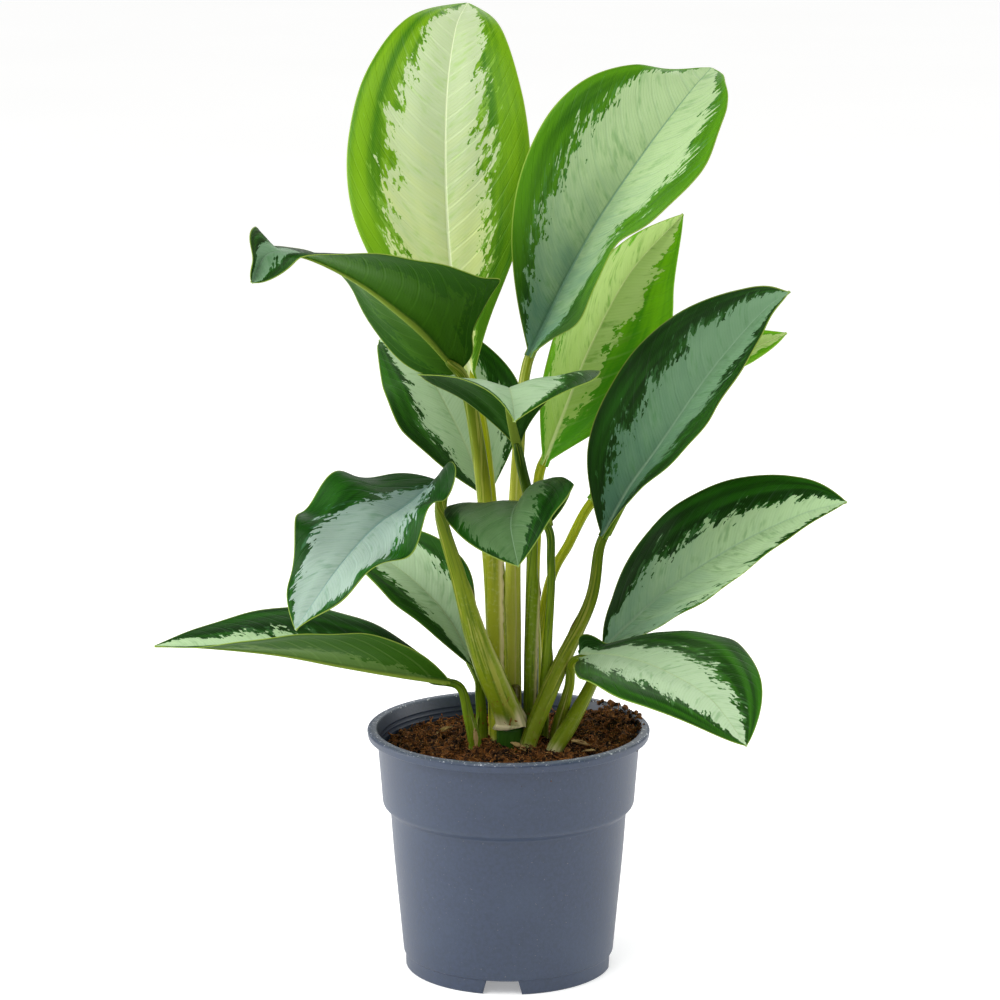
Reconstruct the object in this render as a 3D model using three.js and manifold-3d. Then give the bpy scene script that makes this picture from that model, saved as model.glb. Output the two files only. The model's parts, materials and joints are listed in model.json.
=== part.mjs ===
// Potted Chinese evergreen: fourteen variegated leaves on separate stalks, standing in
// soil in a round plastic nursery pot. Millimetres and degrees, +Z up. The origin is on
// the pot's axis, in the plane that the pot stands on. The leaf that a viewer in front
// sees first lies towards -Y.
import * as THREE from 'three';
import { mergeVertices } from 'three/addons/utils/BufferGeometryUtils.js';
import Module from 'manifold-3d';

const wasm = await Module();
wasm.setup();

// ---- driving dimensions ----

const touchGap = 0.3;        // left between pieces that touch
const bladeThickness = 0.8;
const ribDepth = 2.4;        // how far the midrib stands out below the blade, at its base
const ribTipDepth = 0.3;
const ribHalfWidth = 1.3;
const tipHalfWidth = 0.7;
const bladeStations = 13;    // sections along a blade
const bladeColumns = [0.38, 0.7, 1];   // lines along each half, as shares of its width
const stalkStations = 11;    // sections along a stalk
const stalkSides = 9;
const stalkLead = 6;         // straight stretch of a stalk below its blade
const roundSides = 40;       // facets round the pot and the soil
const caneSides = 14;
const drainSides = 12;

const pot = {
  height: 148,
  rimRadius: 85,
  rimHeight: 5,
  rimInnerRadius: 79.6,
  collarTopRadius: 79,       // band under the rim
  collarFootRadius: 76,
  collarFootHeight: 107,
  shoulderHeight: 98,        // the wall steps in below the band
  shoulderRise: 5,
  bodyTopRadius: 71.2,
  bodyMiddleRadius: 69.3,
  bodyMiddleHeight: 70,
  bodyFootRadius: 63.6,
  footRadius: 62.5,
  footHeight: 9,
  footRingWidth: 3.5,
  edgeRound: 1,
  wall: 1.6,
  floor: 2,
  bossRadius: 18,            // centre disc that reaches down to the standing plane
};
const notch = { count: 4, turn: -3.4, topWidth: 19, footWidth: 24 };
const drain = { count: 8, radius: 4, ringRadius: 46, turn: 22.5 };
const soil = { edgeHeight: 133, centreHeight: 139 };
const caneMain = { x: 1, y: -8, radius: 7.5, foot: 122, top: 150 };
const caneSecond = { x: 4.3, y: 5, radius: 2.5, foot: 126, top: 172 };

// Each leaf: spine runs along the midrib from the stalk to the tip; facing is the way
// the upper side looks at the base, the middle and the tip; fold lifts a half towards
// that side and curl bends it on, both at base, middle and tip. widest is the place
// along the spine with the full width. Below 1, baseShape and tipShape round an end off,
// above 1 they draw it out. stalk lists the stalk's own points from its foot to just
// below the blade, and stalkRadii its radii from foot to blade.
const leaves = {
  top: {
    spine: [
      [-21, 18, 354], [-32, 30, 402], [-37, 46, 460],
      [-37, 62, 518], [-32, 88, 557], [-25, 125, 571],
    ],
    facing: [[0.1, -1, 0.1], [-0.1, -1, 0.2], [0, -0.6, 1]],
    width: 110, widest: 0.5, baseShape: 1.15, tipShape: 0.75,
    left: { fold: [12, 12, 12], curl: [-15, -15, -15], scale: 1.08 },
    right: { fold: [12, 12, 12], curl: [-15, -15, -15], scale: 0.94 },
    stalk: [[-7, 18, 126], [-7, 18, 150], [-9, 18, 250], [-14, 18, 315]],
    stalkRadii: [5, 5, 4, 3],
    tone: 'paleLeaf',
  },
  top_right: {
    spine: [
      [12, 14, 371], [32, 6, 415], [53, 0, 455],
      [80, -4, 496], [104, 8, 526], [119, 30, 540],
    ],
    facing: [[-0.5, -0.8, 0.3], [-0.5, -0.8, 0.3], [-0.3, -0.8, 0.5]],
    width: 112, widest: 0.58, baseShape: 1, tipShape: 0.75,
    left: { fold: [60, 46, 0], curl: [0, 0, 0], scale: 1.05 },
    right: { fold: [45, 32, 10], curl: [0, 0, 0] },
    stalk: [[4, 16, 126], [4, 16, 150], [4, 12, 250], [7, 12, 333]],
    stalkRadii: [4.5, 4.5, 3.5, 3],
    tone: 'midLeaf',
  },
  upper_left: {
    spine: [
      [-30, -12, 366], [-48, -24, 390], [-68, -42, 411],
      [-89, -60, 429], [-115, -82, 441], [-143, -108, 432],
    ],
    facing: [[0, 1, 0.1], [0, 0.35, 0.9], [0, -0.4, 1]],
    width: 116, widest: 0.3, baseShape: 0.6, tipShape: 0.65,
    left: { fold: [-5, 5, 10], curl: [0, 0, 0] },
    right: { fold: [-5, 32, 80], curl: [0, 0, 0], scale: 0.58 },
    stalk: [[-4, 6, 126], [-5, 5, 150], [-9, -2, 240], [-18, -6, 320]],
    stalkRadii: [5.5, 5.5, 4, 3.5],
    tone: 'darkLeaf',
  },
  young: {
    spine: [[21, 33, 301], [33, 43, 331], [50, 56, 371], [74, 70, 413], [106, 80, 447]],
    facing: [[0.1, -1, 0.1], [0.1, -1, 0.1], [-0.1, -1, 0.1]],
    width: 88, widest: 0.46, baseShape: 1.1, tipShape: 0.95,
    left: { fold: [60, 70, 60], curl: [0, 0, 0] },
    right: { fold: [20, 10, 10], curl: [0, 0, 0] },
    stalk: [[17, 16, 126], [17, 16, 150], [15, 18, 222], [17, 26, 270]],
    stalkRadii: [4.5, 4.5, 3.5, 3],
    tone: 'paleLeaf',
  },
  right_upper: {
    spine: [
      [56, 10, 262], [71, 8, 291], [88, 4, 317],
      [118, -8, 365], [146, -26, 403], [161, -42, 418],
    ],
    facing: [[-0.5, -0.8, 0.5], [-0.5, -0.8, 0.5], [-0.5, -0.8, 0.5]],
    width: 92, widest: 0.46, baseShape: 0.85, tipShape: 0.95,
    left: { fold: [20, 20, 20], curl: [0, 0, 0] },
    right: { fold: [55, 38, 20], curl: [0, 0, 0] },
    stalk: [[14, -14, 126], [15, -14, 143], [31, -5, 185], [49, 3, 225]],
    stalkRadii: [4.5, 5, 4, 3],
    tone: 'darkLeaf',
  },
  right_middle: {
    spine: [
      [57, 20, 190], [73, 22, 206], [100, 16, 232],
      [138, 4, 260], [172, -14, 281], [197, -34, 293],
    ],
    facing: [[-0.5, -0.6, 0.8], [-0.5, -0.6, 0.8], [-0.5, -0.6, 0.8]],
    width: 88, widest: 0.46, baseShape: 0.85, tipShape: 0.85,
    left: { fold: [20, 20, 20], curl: [0, 0, 0] },
    right: { fold: [20, 20, 20], curl: [0, 0, 0] },
    stalk: [[27, -18, 126], [28, -18, 138], [38, -10, 153], [52, 8, 176]],
    stalkRadii: [4.5, 4.5, 3.5, 3],
    tone: 'darkLeaf',
  },
  right_lower: {
    spine: [
      [42, -16, 195], [54, -28, 200], [74, -54, 203],
      [94, -84, 202], [115, -114, 195], [133, -146, 177],
    ],
    facing: [[0, -0.2, 1], [0.2, -0.4, 1], [0.2, -0.6, 1]],
    width: 96, widest: 0.46, baseShape: 0.85, tipShape: 0.85,
    left: { fold: [10, 18, 10], curl: [-10, -10, -10] },
    right: { fold: [5, 5, 5], curl: [-10, -10, -10] },
    stalk: [[29, 1, 126], [29, 1, 142], [36, -6, 172]],
    stalkRadii: [3, 3, 2.5, 2.5],
    tone: 'darkLeaf',
  },
  left_lowest: {
    spine: [
      [-35, -20, 181], [-64, -26, 187], [-98, -30, 194],
      [-136, -34, 202], [-179, -38, 207], [-208, -40, 208],
    ],
    facing: [[0.3, 0, 1], [0, 0, 1], [0, 0, 1]],
    width: 88, widest: 0.46, baseShape: 0.85, tipShape: 0.95,
    left: { fold: [60, 34, 5], curl: [0, 0, 0] },
    right: { fold: [40, 30, 20], curl: [0, 0, 0] },
    stalk: [[-20, -16, 126], [-20, -16, 142], [-24, -17, 160]],
    stalkRadii: [4, 4, 3, 2.5],
    tone: 'darkLeaf',
  },
  left_drooping: {
    spine: [[-47, -44, 304], [-60, -64, 297], [-76, -88, 290], [-96, -118, 273], [-119, -146, 244]],
    facing: [[0, 0, 1], [-0.1, -0.3, 1], [-0.5, -0.5, 0.6]],
    width: 88, widest: 0.46, baseShape: 0.6, tipShape: 0.85,
    left: { fold: [60, 20, 20], curl: [-10, -10, -10], scale: 0.9 },
    right: { fold: [20, 25, 10], curl: [-10, -10, -10] },
    wave: { height: 6, count: 3.1 },
    stalk: [[1, -8, 150.3], [1, -8, 156], [-18, -24, 206], [-30, -32, 250], [-41, -40, 288]],
    stalkRadii: [7.5, 7.5, 5, 4, 3],
    tone: 'darkLeaf',
  },
  left_behind: {
    spine: [[-20, -4, 185], [-36, 8, 213], [-58, 20, 234], [-81, 30, 248], [-102, 38, 258]],
    facing: [[0.3, -0.8, 0.5], [0.3, -0.8, 0.5], [0.3, -0.8, 0.5]],
    width: 82, widest: 0.46, baseShape: 0.85, tipShape: 0.95,
    left: { fold: [35, 30, 20], curl: [0, 0, 0], scale: 0.75 },
    right: { fold: [45, 40, 10], curl: [0, 0, 0], scale: 0.76 },
    stalk: [[-16, 6, 126], [-16, 6, 148], [-17, 1, 166]],
    stalkRadii: [3.5, 3.5, 3, 3],
    tone: 'darkLeaf',
  },
  front_upper: {
    spine: [[3, -18, 324], [0, -38, 347], [0, -68, 364], [2, -106, 366], [3, -136, 360]],
    facing: [[0, 0.8, 0.6], [0, 0, 1], [0, -0.5, 1]],
    width: 112, widest: 0.6, baseShape: 2.4, tipShape: 0.75,
    left: { fold: [35, 18, 25], curl: [0, -20, -20] },
    right: { fold: [45, 12, 70], curl: [-20, -20, -20] },
    stalk: [[12, 7, 126], [12, 7, 150], [11, -1, 227], [9, -11, 290]],
    stalkRadii: [4.5, 4.5, 3.5, 3],
    tone: 'darkLeaf',
  },
  front_lower: {
    spine: [[23, -24, 276], [18, -38, 291], [6, -64, 299], [1, -100, 294], [5, -132, 277]],
    facing: [[0, 0.8, 0.6], [0, 0, 1], [0, -0.5, 1]],
    width: 84, widest: 0.45, baseShape: 0.85, tipShape: 0.85,
    left: { fold: [80, 65, 30], curl: [-120, -90, 0], scale: 0.95 },
    right: { fold: [10, 0, 0], curl: [-10, -10, -10] },
    stalk: [[21, 4, 126], [21, 4, 150], [25, -6, 227], [25, -14, 254]],
    stalkRadii: [3.5, 3.5, 2.5, 2.5],
    tone: 'darkLeaf',
  },
  back_left: {
    spine: [
      [-12, 30, 281], [-22, 38, 304], [-33, 48, 326],
      [-49, 62, 351], [-71, 78, 367], [-79, 86, 369],
    ],
    facing: [[0.3, -0.9, 0.3], [0.3, -0.9, 0.3], [0.3, -0.9, 0.3]],
    width: 92, widest: 0.46, baseShape: 1.1, tipShape: 0.95,
    left: { fold: [30, 30, 30], curl: [0, 0, 0] },
    right: { fold: [10, 10, 10], curl: [0, 0, 0] },
    stalk: [[-1, 27, 126], [-1, 27, 150], [-4, 27, 221]],
    stalkRadii: [4.5, 4.5, 3.5, 3],
    tone: 'darkLeaf',
  },
  back_right: {
    spine: [[50, 50, 276], [80, 64, 311], [117, 78, 342], [145, 88, 360], [171, 94, 372]],
    facing: [[-0.4, -0.6, 0.7], [-0.4, -0.6, 0.7], [-0.4, -0.6, 0.7]],
    width: 64, widest: 0.46, baseShape: 0.85, tipShape: 0.95,
    left: { fold: [50, 50, 50], curl: [0, 0, 0] },
    right: { fold: [50, 50, 0], curl: [0, 0, 0] },
    stalk: [[13, 26, 126], [13, 26, 150], [24, 31, 225], [37, 40, 252]],
    stalkRadii: [4, 4, 3, 3],
    tone: 'darkLeaf',
  },
};

const finishes = {
  potPlastic: { color: 0x5d687b, roughness: 0.55 },
  soilCrumb: { color: 0x4d3021, roughness: 0.95 },
  caneSkin: { color: 0x47602a, roughness: 0.6 },
  stalkSkin: { color: 0x9aa03e, roughness: 0.5 },
  paleLeaf: { color: 0x8fbf4a, roughness: 0.4 },
  midLeaf: { color: 0x6fa372, roughness: 0.4 },
  darkLeaf: { color: 0x3f7a45, roughness: 0.4 },
};

// ---- helpers ----

const plant = new THREE.Group();

function addPiece(name, geometry, finish) {
  const material = new THREE.MeshStandardMaterial({ ...finishes[finish], metalness: 0 });
  const mesh = new THREE.Mesh(geometry, material);
  mesh.name = name;
  plant.add(mesh);
}

function radians(degrees) {
  return degrees * Math.PI / 180;
}

// The value at s of a curve through three values, at the base, the middle and the tip.
function throughThree([base, middle, tip], s) {
  return base * (1 - s) * (1 - 2 * s) + 4 * middle * s * (1 - s) + tip * s * (2 * s - 1);
}

function smoothCurve(points) {
  const curve = new THREE.CatmullRomCurve3(points, false, 'catmullrom', 0.5);
  curve.arcLengthDivisions = 400;
  return curve;
}

function triangleMesh(points, triangles) {
  const geometry = new THREE.BufferGeometry();
  const flat = points.flatMap((p) => [p.x, p.y, p.z]);
  geometry.setAttribute('position', new THREE.Float32BufferAttribute(flat, 3));
  geometry.setIndex(triangles.flat());
  return geometry;
}

// Turns a closed geometry into a solid that can be cut.
function solidOf(geometry) {
  const bare = geometry.clone();
  bare.deleteAttribute('normal');
  bare.deleteAttribute('uv');
  const welded = mergeVertices(bare, 1e-3);
  const index = Array.from(welded.index.array);
  const triVerts = [];
  for (let i = 0; i < index.length; i += 3) {
    const [a, b, c] = index.slice(i, i + 3);
    if (a !== b && b !== c && c !== a) triVerts.push(a, b, c);
  }
  const vertProperties = new Float32Array(welded.attributes.position.array);
  return new wasm.Manifold(new wasm.Mesh({
    numProp: 3, vertProperties, triVerts: new Uint32Array(triVerts),
  }));
}

function geometryOf(solid) {
  const { vertProperties, triVerts } = solid.getMesh();
  const geometry = new THREE.BufferGeometry();
  geometry.setAttribute('position', new THREE.BufferAttribute(vertProperties, 3));
  geometry.setIndex(new THREE.BufferAttribute(triVerts, 1));
  return geometry;
}

// A turned piece: the profile lists [radius, height] from the axis, up the outside and
// back to the axis.
function turned(profile, sides = roundSides) {
  const outline = profile.map(([radius, height]) => new THREE.Vector2(radius, height));
  return new THREE.LatheGeometry(outline, sides).rotateX(Math.PI / 2);
}

// A round stalk along a smooth path, with flat ends square to it.
function stalkGeometry(points, radii, grow = 0) {
  const path = smoothCurve(points);
  const frames = path.computeFrenetFrames(stalkStations, false);
  const ring = [];
  for (let i = 0; i <= stalkStations; i += 1) {
    const along = i / stalkStations;
    const place = along * (radii.length - 1);
    const lower = Math.min(Math.floor(place), radii.length - 2);
    const radius = THREE.MathUtils.lerp(radii[lower], radii[lower + 1], place - lower) + grow;
    const centre = path.getPointAt(along);
    if (i === 0) centre.addScaledVector(path.getTangentAt(0), -grow);
    for (let k = 0; k < stalkSides; k += 1) {
      const turn = 2 * Math.PI * k / stalkSides;
      ring.push(centre.clone()
        .addScaledVector(frames.normals[i], radius * Math.cos(turn))
        .addScaledVector(frames.binormals[i], radius * Math.sin(turn)));
    }
  }
  const triangles = [];
  for (let i = 0; i < stalkStations; i += 1) {
    for (let k = 0; k < stalkSides; k += 1) {
      const a = i * stalkSides + k;
      const b = i * stalkSides + (k + 1) % stalkSides;
      triangles.push([a, b, b + stalkSides], [a, b + stalkSides, a + stalkSides]);
    }
  }
  const last = stalkStations * stalkSides;
  for (let k = 1; k < stalkSides - 1; k += 1) {
    triangles.push([0, k + 1, k], [last, last + k, last + k + 1]);
  }
  return triangleMesh(ring, triangles);
}

// ---- leaves ----

// Half the blade's width at s, for a leaf that ends in a stub as wide as its stalk.
function halfWidthAt(leaf, s, stubRadius) {
  const rising = Math.sin(Math.PI / 2 * Math.min(s / leaf.widest, 1)) ** leaf.baseShape;
  const falling = Math.cos(Math.PI / 2 * Math.max((s - leaf.widest) / (1 - leaf.widest), 0));
  const width = leaf.width / 2 * (s < leaf.widest ? rising : Math.max(falling, 0) ** leaf.tipShape);
  const least = THREE.MathUtils.lerp(stubRadius, tipHalfWidth, s);
  return Math.max(width, least);
}

// One point of a blade's upper side, and the way that side looks there. across runs from
// -1 at the left margin to 1 at the right one.
function bladePoint(leaf, frame, across) {
  const half = across < 0 ? leaf.left : leaf.right;
  const side = Math.sign(across);
  const reach = Math.abs(across);
  const fold = radians(throughThree(half.fold, frame.s));
  const curl = radians(throughThree(half.curl, frame.s));
  const curlSteps = 12;
  const stepLength = reach / curlSteps;
  let out = 0;
  let up = 0;
  for (let k = 0; k < curlSteps; k += 1) {
    const angle = fold + curl * stepLength * (k + 0.5);
    out += Math.cos(angle) * stepLength;
    up += Math.sin(angle) * stepLength;
  }
  const width = frame.halfWidth * (half.scale ?? 1);
  const wave = leaf.wave ?? { height: 0, count: 0 };
  const phase = across < 0 ? 0 : 2;
  const ripple = wave.height * reach ** 2 * Math.sin(Math.PI * frame.s)
    * Math.sin(2 * Math.PI * wave.count * frame.s + phase);
  const point = frame.centre.clone()
    .addScaledVector(frame.right, side * width * out)
    .addScaledVector(frame.up, width * up + ripple);
  const tilt = fold + curl * reach;
  const normal = frame.up.clone().multiplyScalar(Math.cos(tilt))
    .addScaledVector(frame.right, -side * Math.sin(tilt));
  return { point, normal };
}

function bladeFrame(leaf, spine, s, stubRadius) {
  const tangent = spine.getTangentAt(s);
  const looks = leaf.facing.map((way) => new THREE.Vector3(...way).normalize());
  const facing = new THREE.Vector3(
    throughThree(looks.map((way) => way.x), s),
    throughThree(looks.map((way) => way.y), s),
    throughThree(looks.map((way) => way.z), s),
  );
  const up = facing.addScaledVector(tangent, -facing.dot(tangent)).normalize();
  const right = tangent.clone().cross(up);
  return { s, centre: spine.getPointAt(s), up, right, halfWidth: halfWidthAt(leaf, s, stubRadius) };
}

// A thin blade with a midrib under it. Both faces have the same grid of points and are
// split into triangles alike.
function bladeGeometry(leaf) {
  const spine = smoothCurve(leaf.spine.map((p) => new THREE.Vector3(...p)));
  const stubRadius = leaf.stalkRadii.at(-1);
  const upper = [];
  const lower = [];
  let columns = 0;
  for (let i = 0; i <= bladeStations; i += 1) {
    const even = i / bladeStations;
    const s = even - Math.sin(2 * Math.PI * even) / (4 * Math.PI);   // closer at the ends
    const frame = bladeFrame(leaf, spine, s, stubRadius);
    const rib = Math.min(ribHalfWidth / frame.halfWidth, bladeColumns[0] * 0.8);
    const half = [rib, ...bladeColumns];
    const grid = [...half.map((across) => -across).reverse(), 0, ...half];
    columns = grid.length;
    for (const across of grid) {
      const { point, normal } = bladePoint(leaf, frame, across);
      const extra = across === 0 ? THREE.MathUtils.lerp(ribDepth, ribTipDepth, s) : 0;
      upper.push(point);
      lower.push(point.clone().addScaledVector(normal, -bladeThickness - extra));
    }
  }
  const below = upper.length;
  const triangles = [];
  for (let i = 0; i < bladeStations; i += 1) {
    for (let j = 0; j < columns - 1; j += 1) {
      const a = i * columns + j;
      const b = a + 1;
      const c = b + columns;
      const d = a + columns;
      triangles.push([a, b, c], [a, c, d]);
      triangles.push([below + a, below + c, below + b], [below + a, below + d, below + c]);
    }
    const left = i * columns;
    const right = left + columns - 1;
    const leftNext = left + columns;
    const rightNext = right + columns;
    triangles.push([left, leftNext, below + leftNext], [left, below + leftNext, below + left]);
    triangles.push([right, below + rightNext, rightNext], [right, below + right, below + rightNext]);
  }
  const tip = bladeStations * columns;
  for (let j = 0; j < columns - 1; j += 1) {
    triangles.push([j, below + j + 1, j + 1], [j, below + j, below + j + 1]);
    const a = tip + j;
    triangles.push([a, a + 1, below + a + 1], [a, below + a + 1, below + a]);
  }
  return triangleMesh([...upper, ...lower], triangles);
}

// The stalk ends square to the blade's base, just clear of it.
function stalkPoints(leaf) {
  const spine = smoothCurve(leaf.spine.map((p) => new THREE.Vector3(...p)));
  const way = spine.getTangentAt(0);
  const up = new THREE.Vector3(...leaf.facing[0]).normalize();
  up.addScaledVector(way, -up.dot(way)).normalize();
  const base = spine.getPointAt(0).addScaledVector(up, -(bladeThickness + ribDepth) / 2);
  const own = leaf.stalk.map((p) => new THREE.Vector3(...p));
  const lead = base.clone().addScaledVector(way, -stalkLead);
  const end = base.clone().addScaledVector(way, -touchGap);
  return [...own, lead, end];
}

for (const [name, leaf] of Object.entries(leaves)) {
  addPiece(`blade_${name}`, bladeGeometry(leaf), leaf.tone);
  addPiece(`stalk_${name}`, stalkGeometry(stalkPoints(leaf), leaf.stalkRadii), 'stalkSkin');
}

// ---- canes ----

// A short upright cane, a little thicker at its node near the top.
function caneGeometry(cane, grow = 0) {
  const radius = cane.radius + grow;
  const nodeRadius = radius * 1.06;
  const nodeHeight = cane.top - cane.radius / 2;
  const nodeLength = 1.5;
  return turned([
    [0, cane.foot - grow],
    [radius, cane.foot - grow],
    [radius, nodeHeight - nodeLength],
    [nodeRadius, nodeHeight],
    [radius, nodeHeight + nodeLength / 2],
    [radius, cane.top],
    [0, cane.top],
  ], caneSides).translate(cane.x, cane.y, 0);
}

addPiece('cane_main', caneGeometry(caneMain), 'caneSkin');
addPiece('cane_second', caneGeometry(caneSecond), 'caneSkin');

// ---- pot ----

function potGeometry() {
  const { wall, floor, edgeRound } = pot;
  const rimFoot = pot.height - pot.rimHeight;
  const floorTop = pot.footHeight + floor;
  const shoulderTop = pot.shoulderHeight + pot.shoulderRise;
  const outside = [
    [0, 0],
    [pot.bossRadius, 0],
    [pot.bossRadius + edgeRound, pot.footHeight],
    [pot.footRadius - pot.footRingWidth - edgeRound / 2, pot.footHeight],
    [pot.footRadius - pot.footRingWidth, 0],
    [pot.footRadius, 0],
    [pot.footRadius, pot.footHeight - edgeRound / 2],
    [pot.bodyFootRadius, pot.footHeight + edgeRound / 2],
    [pot.bodyMiddleRadius, pot.bodyMiddleHeight],
    [pot.bodyTopRadius, pot.shoulderHeight - edgeRound],
    [(pot.bodyTopRadius + pot.collarFootRadius) / 2, pot.shoulderHeight + edgeRound * 1.6],
    [pot.collarFootRadius - edgeRound / 2, shoulderTop],
    [pot.collarFootRadius, pot.collarFootHeight],
    [pot.collarTopRadius, rimFoot - edgeRound / 2],
    [pot.rimRadius - edgeRound, rimFoot - edgeRound / 2],
    [pot.rimRadius, rimFoot + edgeRound / 2],
    [pot.rimRadius, pot.height - edgeRound],
    [pot.rimRadius - edgeRound, pot.height],
  ];
  const inside = [
    [pot.rimInnerRadius, pot.height],
    [pot.rimInnerRadius - edgeRound, pot.height - edgeRound],
    [pot.collarTopRadius - wall, rimFoot - edgeRound],
    [pot.collarFootRadius - wall, pot.collarFootHeight + edgeRound / 2],
    [(pot.bodyTopRadius + pot.collarFootRadius) / 2 - wall, pot.shoulderHeight + wall * 2],
    [pot.bodyTopRadius - wall, pot.shoulderHeight],
    [pot.bodyMiddleRadius - wall, pot.bodyMiddleHeight],
    [pot.bodyFootRadius - wall, floorTop + edgeRound],
    [pot.bodyFootRadius - wall - edgeRound, floorTop],
    [pot.bossRadius - wall + edgeRound, floorTop],
    [pot.bossRadius - wall, floor],
    [0, floor],
  ];
  let body = solidOf(turned([...outside, ...inside]));

  const overshoot = 1;
  const opening = new THREE.Shape([
    new THREE.Vector2(-notch.footWidth / 2, -overshoot),
    new THREE.Vector2(notch.footWidth / 2, -overshoot),
    new THREE.Vector2(notch.topWidth / 2, pot.footHeight - edgeRound / 2),
    new THREE.Vector2(-notch.topWidth / 2, pot.footHeight - edgeRound / 2),
  ]);
  const reach = pot.footRingWidth * 3;
  for (let k = 0; k < notch.count; k += 1) {
    const cutter = new THREE.ExtrudeGeometry(opening, { depth: reach, bevelEnabled: false })
      .rotateX(Math.PI / 2)
      .translate(0, reach * 0.7 - pot.footRadius, 0)
      .rotateZ(radians(notch.turn + 360 / notch.count * k));
    body = body.subtract(solidOf(cutter));
  }
  for (let k = 0; k < drain.count; k += 1) {
    const cutter = new THREE.CylinderGeometry(drain.radius, drain.radius, floor * 4, drainSides)
      .rotateX(Math.PI / 2)
      .translate(drain.ringRadius, 0, floorTop)
      .rotateZ(radians(drain.turn + 360 / drain.count * k));
    body = body.subtract(solidOf(cutter));
  }
  return geometryOf(body);
}

addPiece('pot', potGeometry(), 'potPlastic');

// ---- soil ----

// The soil fills the pot to below its rim and is heaped a little round the stems, which
// stand in plain holes in it.
function soilGeometry() {
  const clear = pot.wall + touchGap;
  const foot = pot.footHeight + pot.floor + touchGap;
  const edge = THREE.MathUtils.mapLinear(
    soil.edgeHeight,
    pot.collarFootHeight,
    pot.height - pot.rimHeight,
    pot.collarFootRadius,
    pot.collarTopRadius,
  ) - clear;
  const rise = soil.centreHeight - soil.edgeHeight;
  let body = solidOf(turned([
    [0, foot],
    [pot.bodyFootRadius - clear - pot.edgeRound * 1.5, foot],
    [pot.bodyFootRadius - clear, foot + pot.edgeRound * 1.5],
    [pot.bodyMiddleRadius - clear, pot.bodyMiddleHeight],
    [pot.bodyTopRadius - clear, pot.shoulderHeight],
    [(pot.bodyTopRadius + pot.collarFootRadius) / 2 - clear, pot.shoulderHeight + pot.wall * 2.2],
    [pot.collarFootRadius - clear, pot.collarFootHeight + pot.edgeRound],
    [edge, soil.edgeHeight],
    [edge * 0.85, soil.edgeHeight + rise * 0.35],
    [edge * 0.55, soil.edgeHeight + rise * 0.75],
    [edge * 0.25, soil.centreHeight],
    [0, soil.centreHeight],
  ]));
  for (const leaf of Object.values(leaves)) {
    if (leaf.stalk[0][2] < soil.edgeHeight) {
      body = body.subtract(solidOf(stalkGeometry(stalkPoints(leaf), leaf.stalkRadii, touchGap)));
    }
  }
  for (const cane of [caneMain, caneSecond]) {
    body = body.subtract(solidOf(caneGeometry(cane, touchGap)));
  }
  return geometryOf(body);
}

addPiece('soil', soilGeometry(), 'soilCrumb');

export default plant;
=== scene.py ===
import json
import math
from functools import partial

import bpy
import numpy as np
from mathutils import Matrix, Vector, noise


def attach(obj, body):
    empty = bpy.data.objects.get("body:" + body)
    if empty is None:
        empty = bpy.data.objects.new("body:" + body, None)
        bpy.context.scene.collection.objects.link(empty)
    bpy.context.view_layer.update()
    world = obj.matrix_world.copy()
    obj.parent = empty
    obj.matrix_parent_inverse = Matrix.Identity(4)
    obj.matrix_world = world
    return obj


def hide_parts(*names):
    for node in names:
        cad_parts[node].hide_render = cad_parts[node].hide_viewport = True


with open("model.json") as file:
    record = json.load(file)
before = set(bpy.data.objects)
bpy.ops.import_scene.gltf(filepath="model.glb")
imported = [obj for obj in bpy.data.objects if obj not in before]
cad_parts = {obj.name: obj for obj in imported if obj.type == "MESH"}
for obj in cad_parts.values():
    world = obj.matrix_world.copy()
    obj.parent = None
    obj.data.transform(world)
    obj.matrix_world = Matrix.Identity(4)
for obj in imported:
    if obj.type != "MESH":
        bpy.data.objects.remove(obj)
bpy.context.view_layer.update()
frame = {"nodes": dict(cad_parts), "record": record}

slotOf = {row["node"]: row["material_slot"] for row in frame["record"]["subparts"]}
print("frame loaded:", len(frame["nodes"]), "nodes")


def linearColor(hexText):
    # sRGB hex to the linear values that a shader works with
    channels = [int(hexText[i:i + 2], 16) / 255 for i in (1, 3, 5)]
    linear = [c / 12.92 if c <= .04045 else ((c + .055) / 1.055) ** 2.4 for c in channels]
    return (*linear, 1)


# the setting that a kind of node takes its mode from
modeOf = {
    "Math": "operation", "VectorMath": "operation", "Mix": "data_type",
    "MapRange": "interpolation_type", "FunctionNodeRandomValue": "data_type",
}


def feed(tree, socket, value):
    # a socket gets a number, a colour, or a link from a node or its output
    if isinstance(value, bpy.types.Node):
        value = next(output for output in value.outputs if output.enabled)
    if isinstance(value, bpy.types.NodeSocket):
        tree.links.new(value, socket)
    elif isinstance(value, str):
        socket.default_value = linearColor(value)
    elif value is not None:
        socket.default_value = value


def addNode(tree, kind, *inputs, **settings):
    # kind is a node's type and, for some, its mode. inputs go to the sockets in use, in
    # order, and a setting that is the name of an input goes there
    kind, *mode = kind.split()
    node = tree.nodes.new(kind if "Node" in kind else "ShaderNode" + kind)
    for value in mode:
        setattr(node, modeOf[kind], value)
    for name, value in settings.items():
        if name in node.inputs:
            feed(tree, node.inputs[name], value)
        else:
            setattr(node, name, value)
    sockets = [socket for socket in node.inputs if socket.enabled]
    for socket, value in zip(sockets, inputs):
        feed(tree, socket, value)
    return node


def newMaterial(name):
    material = bpy.data.materials.new(name)
    material.use_nodes = True
    return material, material.node_tree


def finishMaterial(tree, **inputs):
    # colour, gloss and relief given to the shader; a name is an input's, with its spaces out
    shader = tree.nodes["Principled BSDF"]
    for socket in shader.inputs:
        feed(tree, socket, inputs.get(socket.name.replace(" ", "")))


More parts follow.
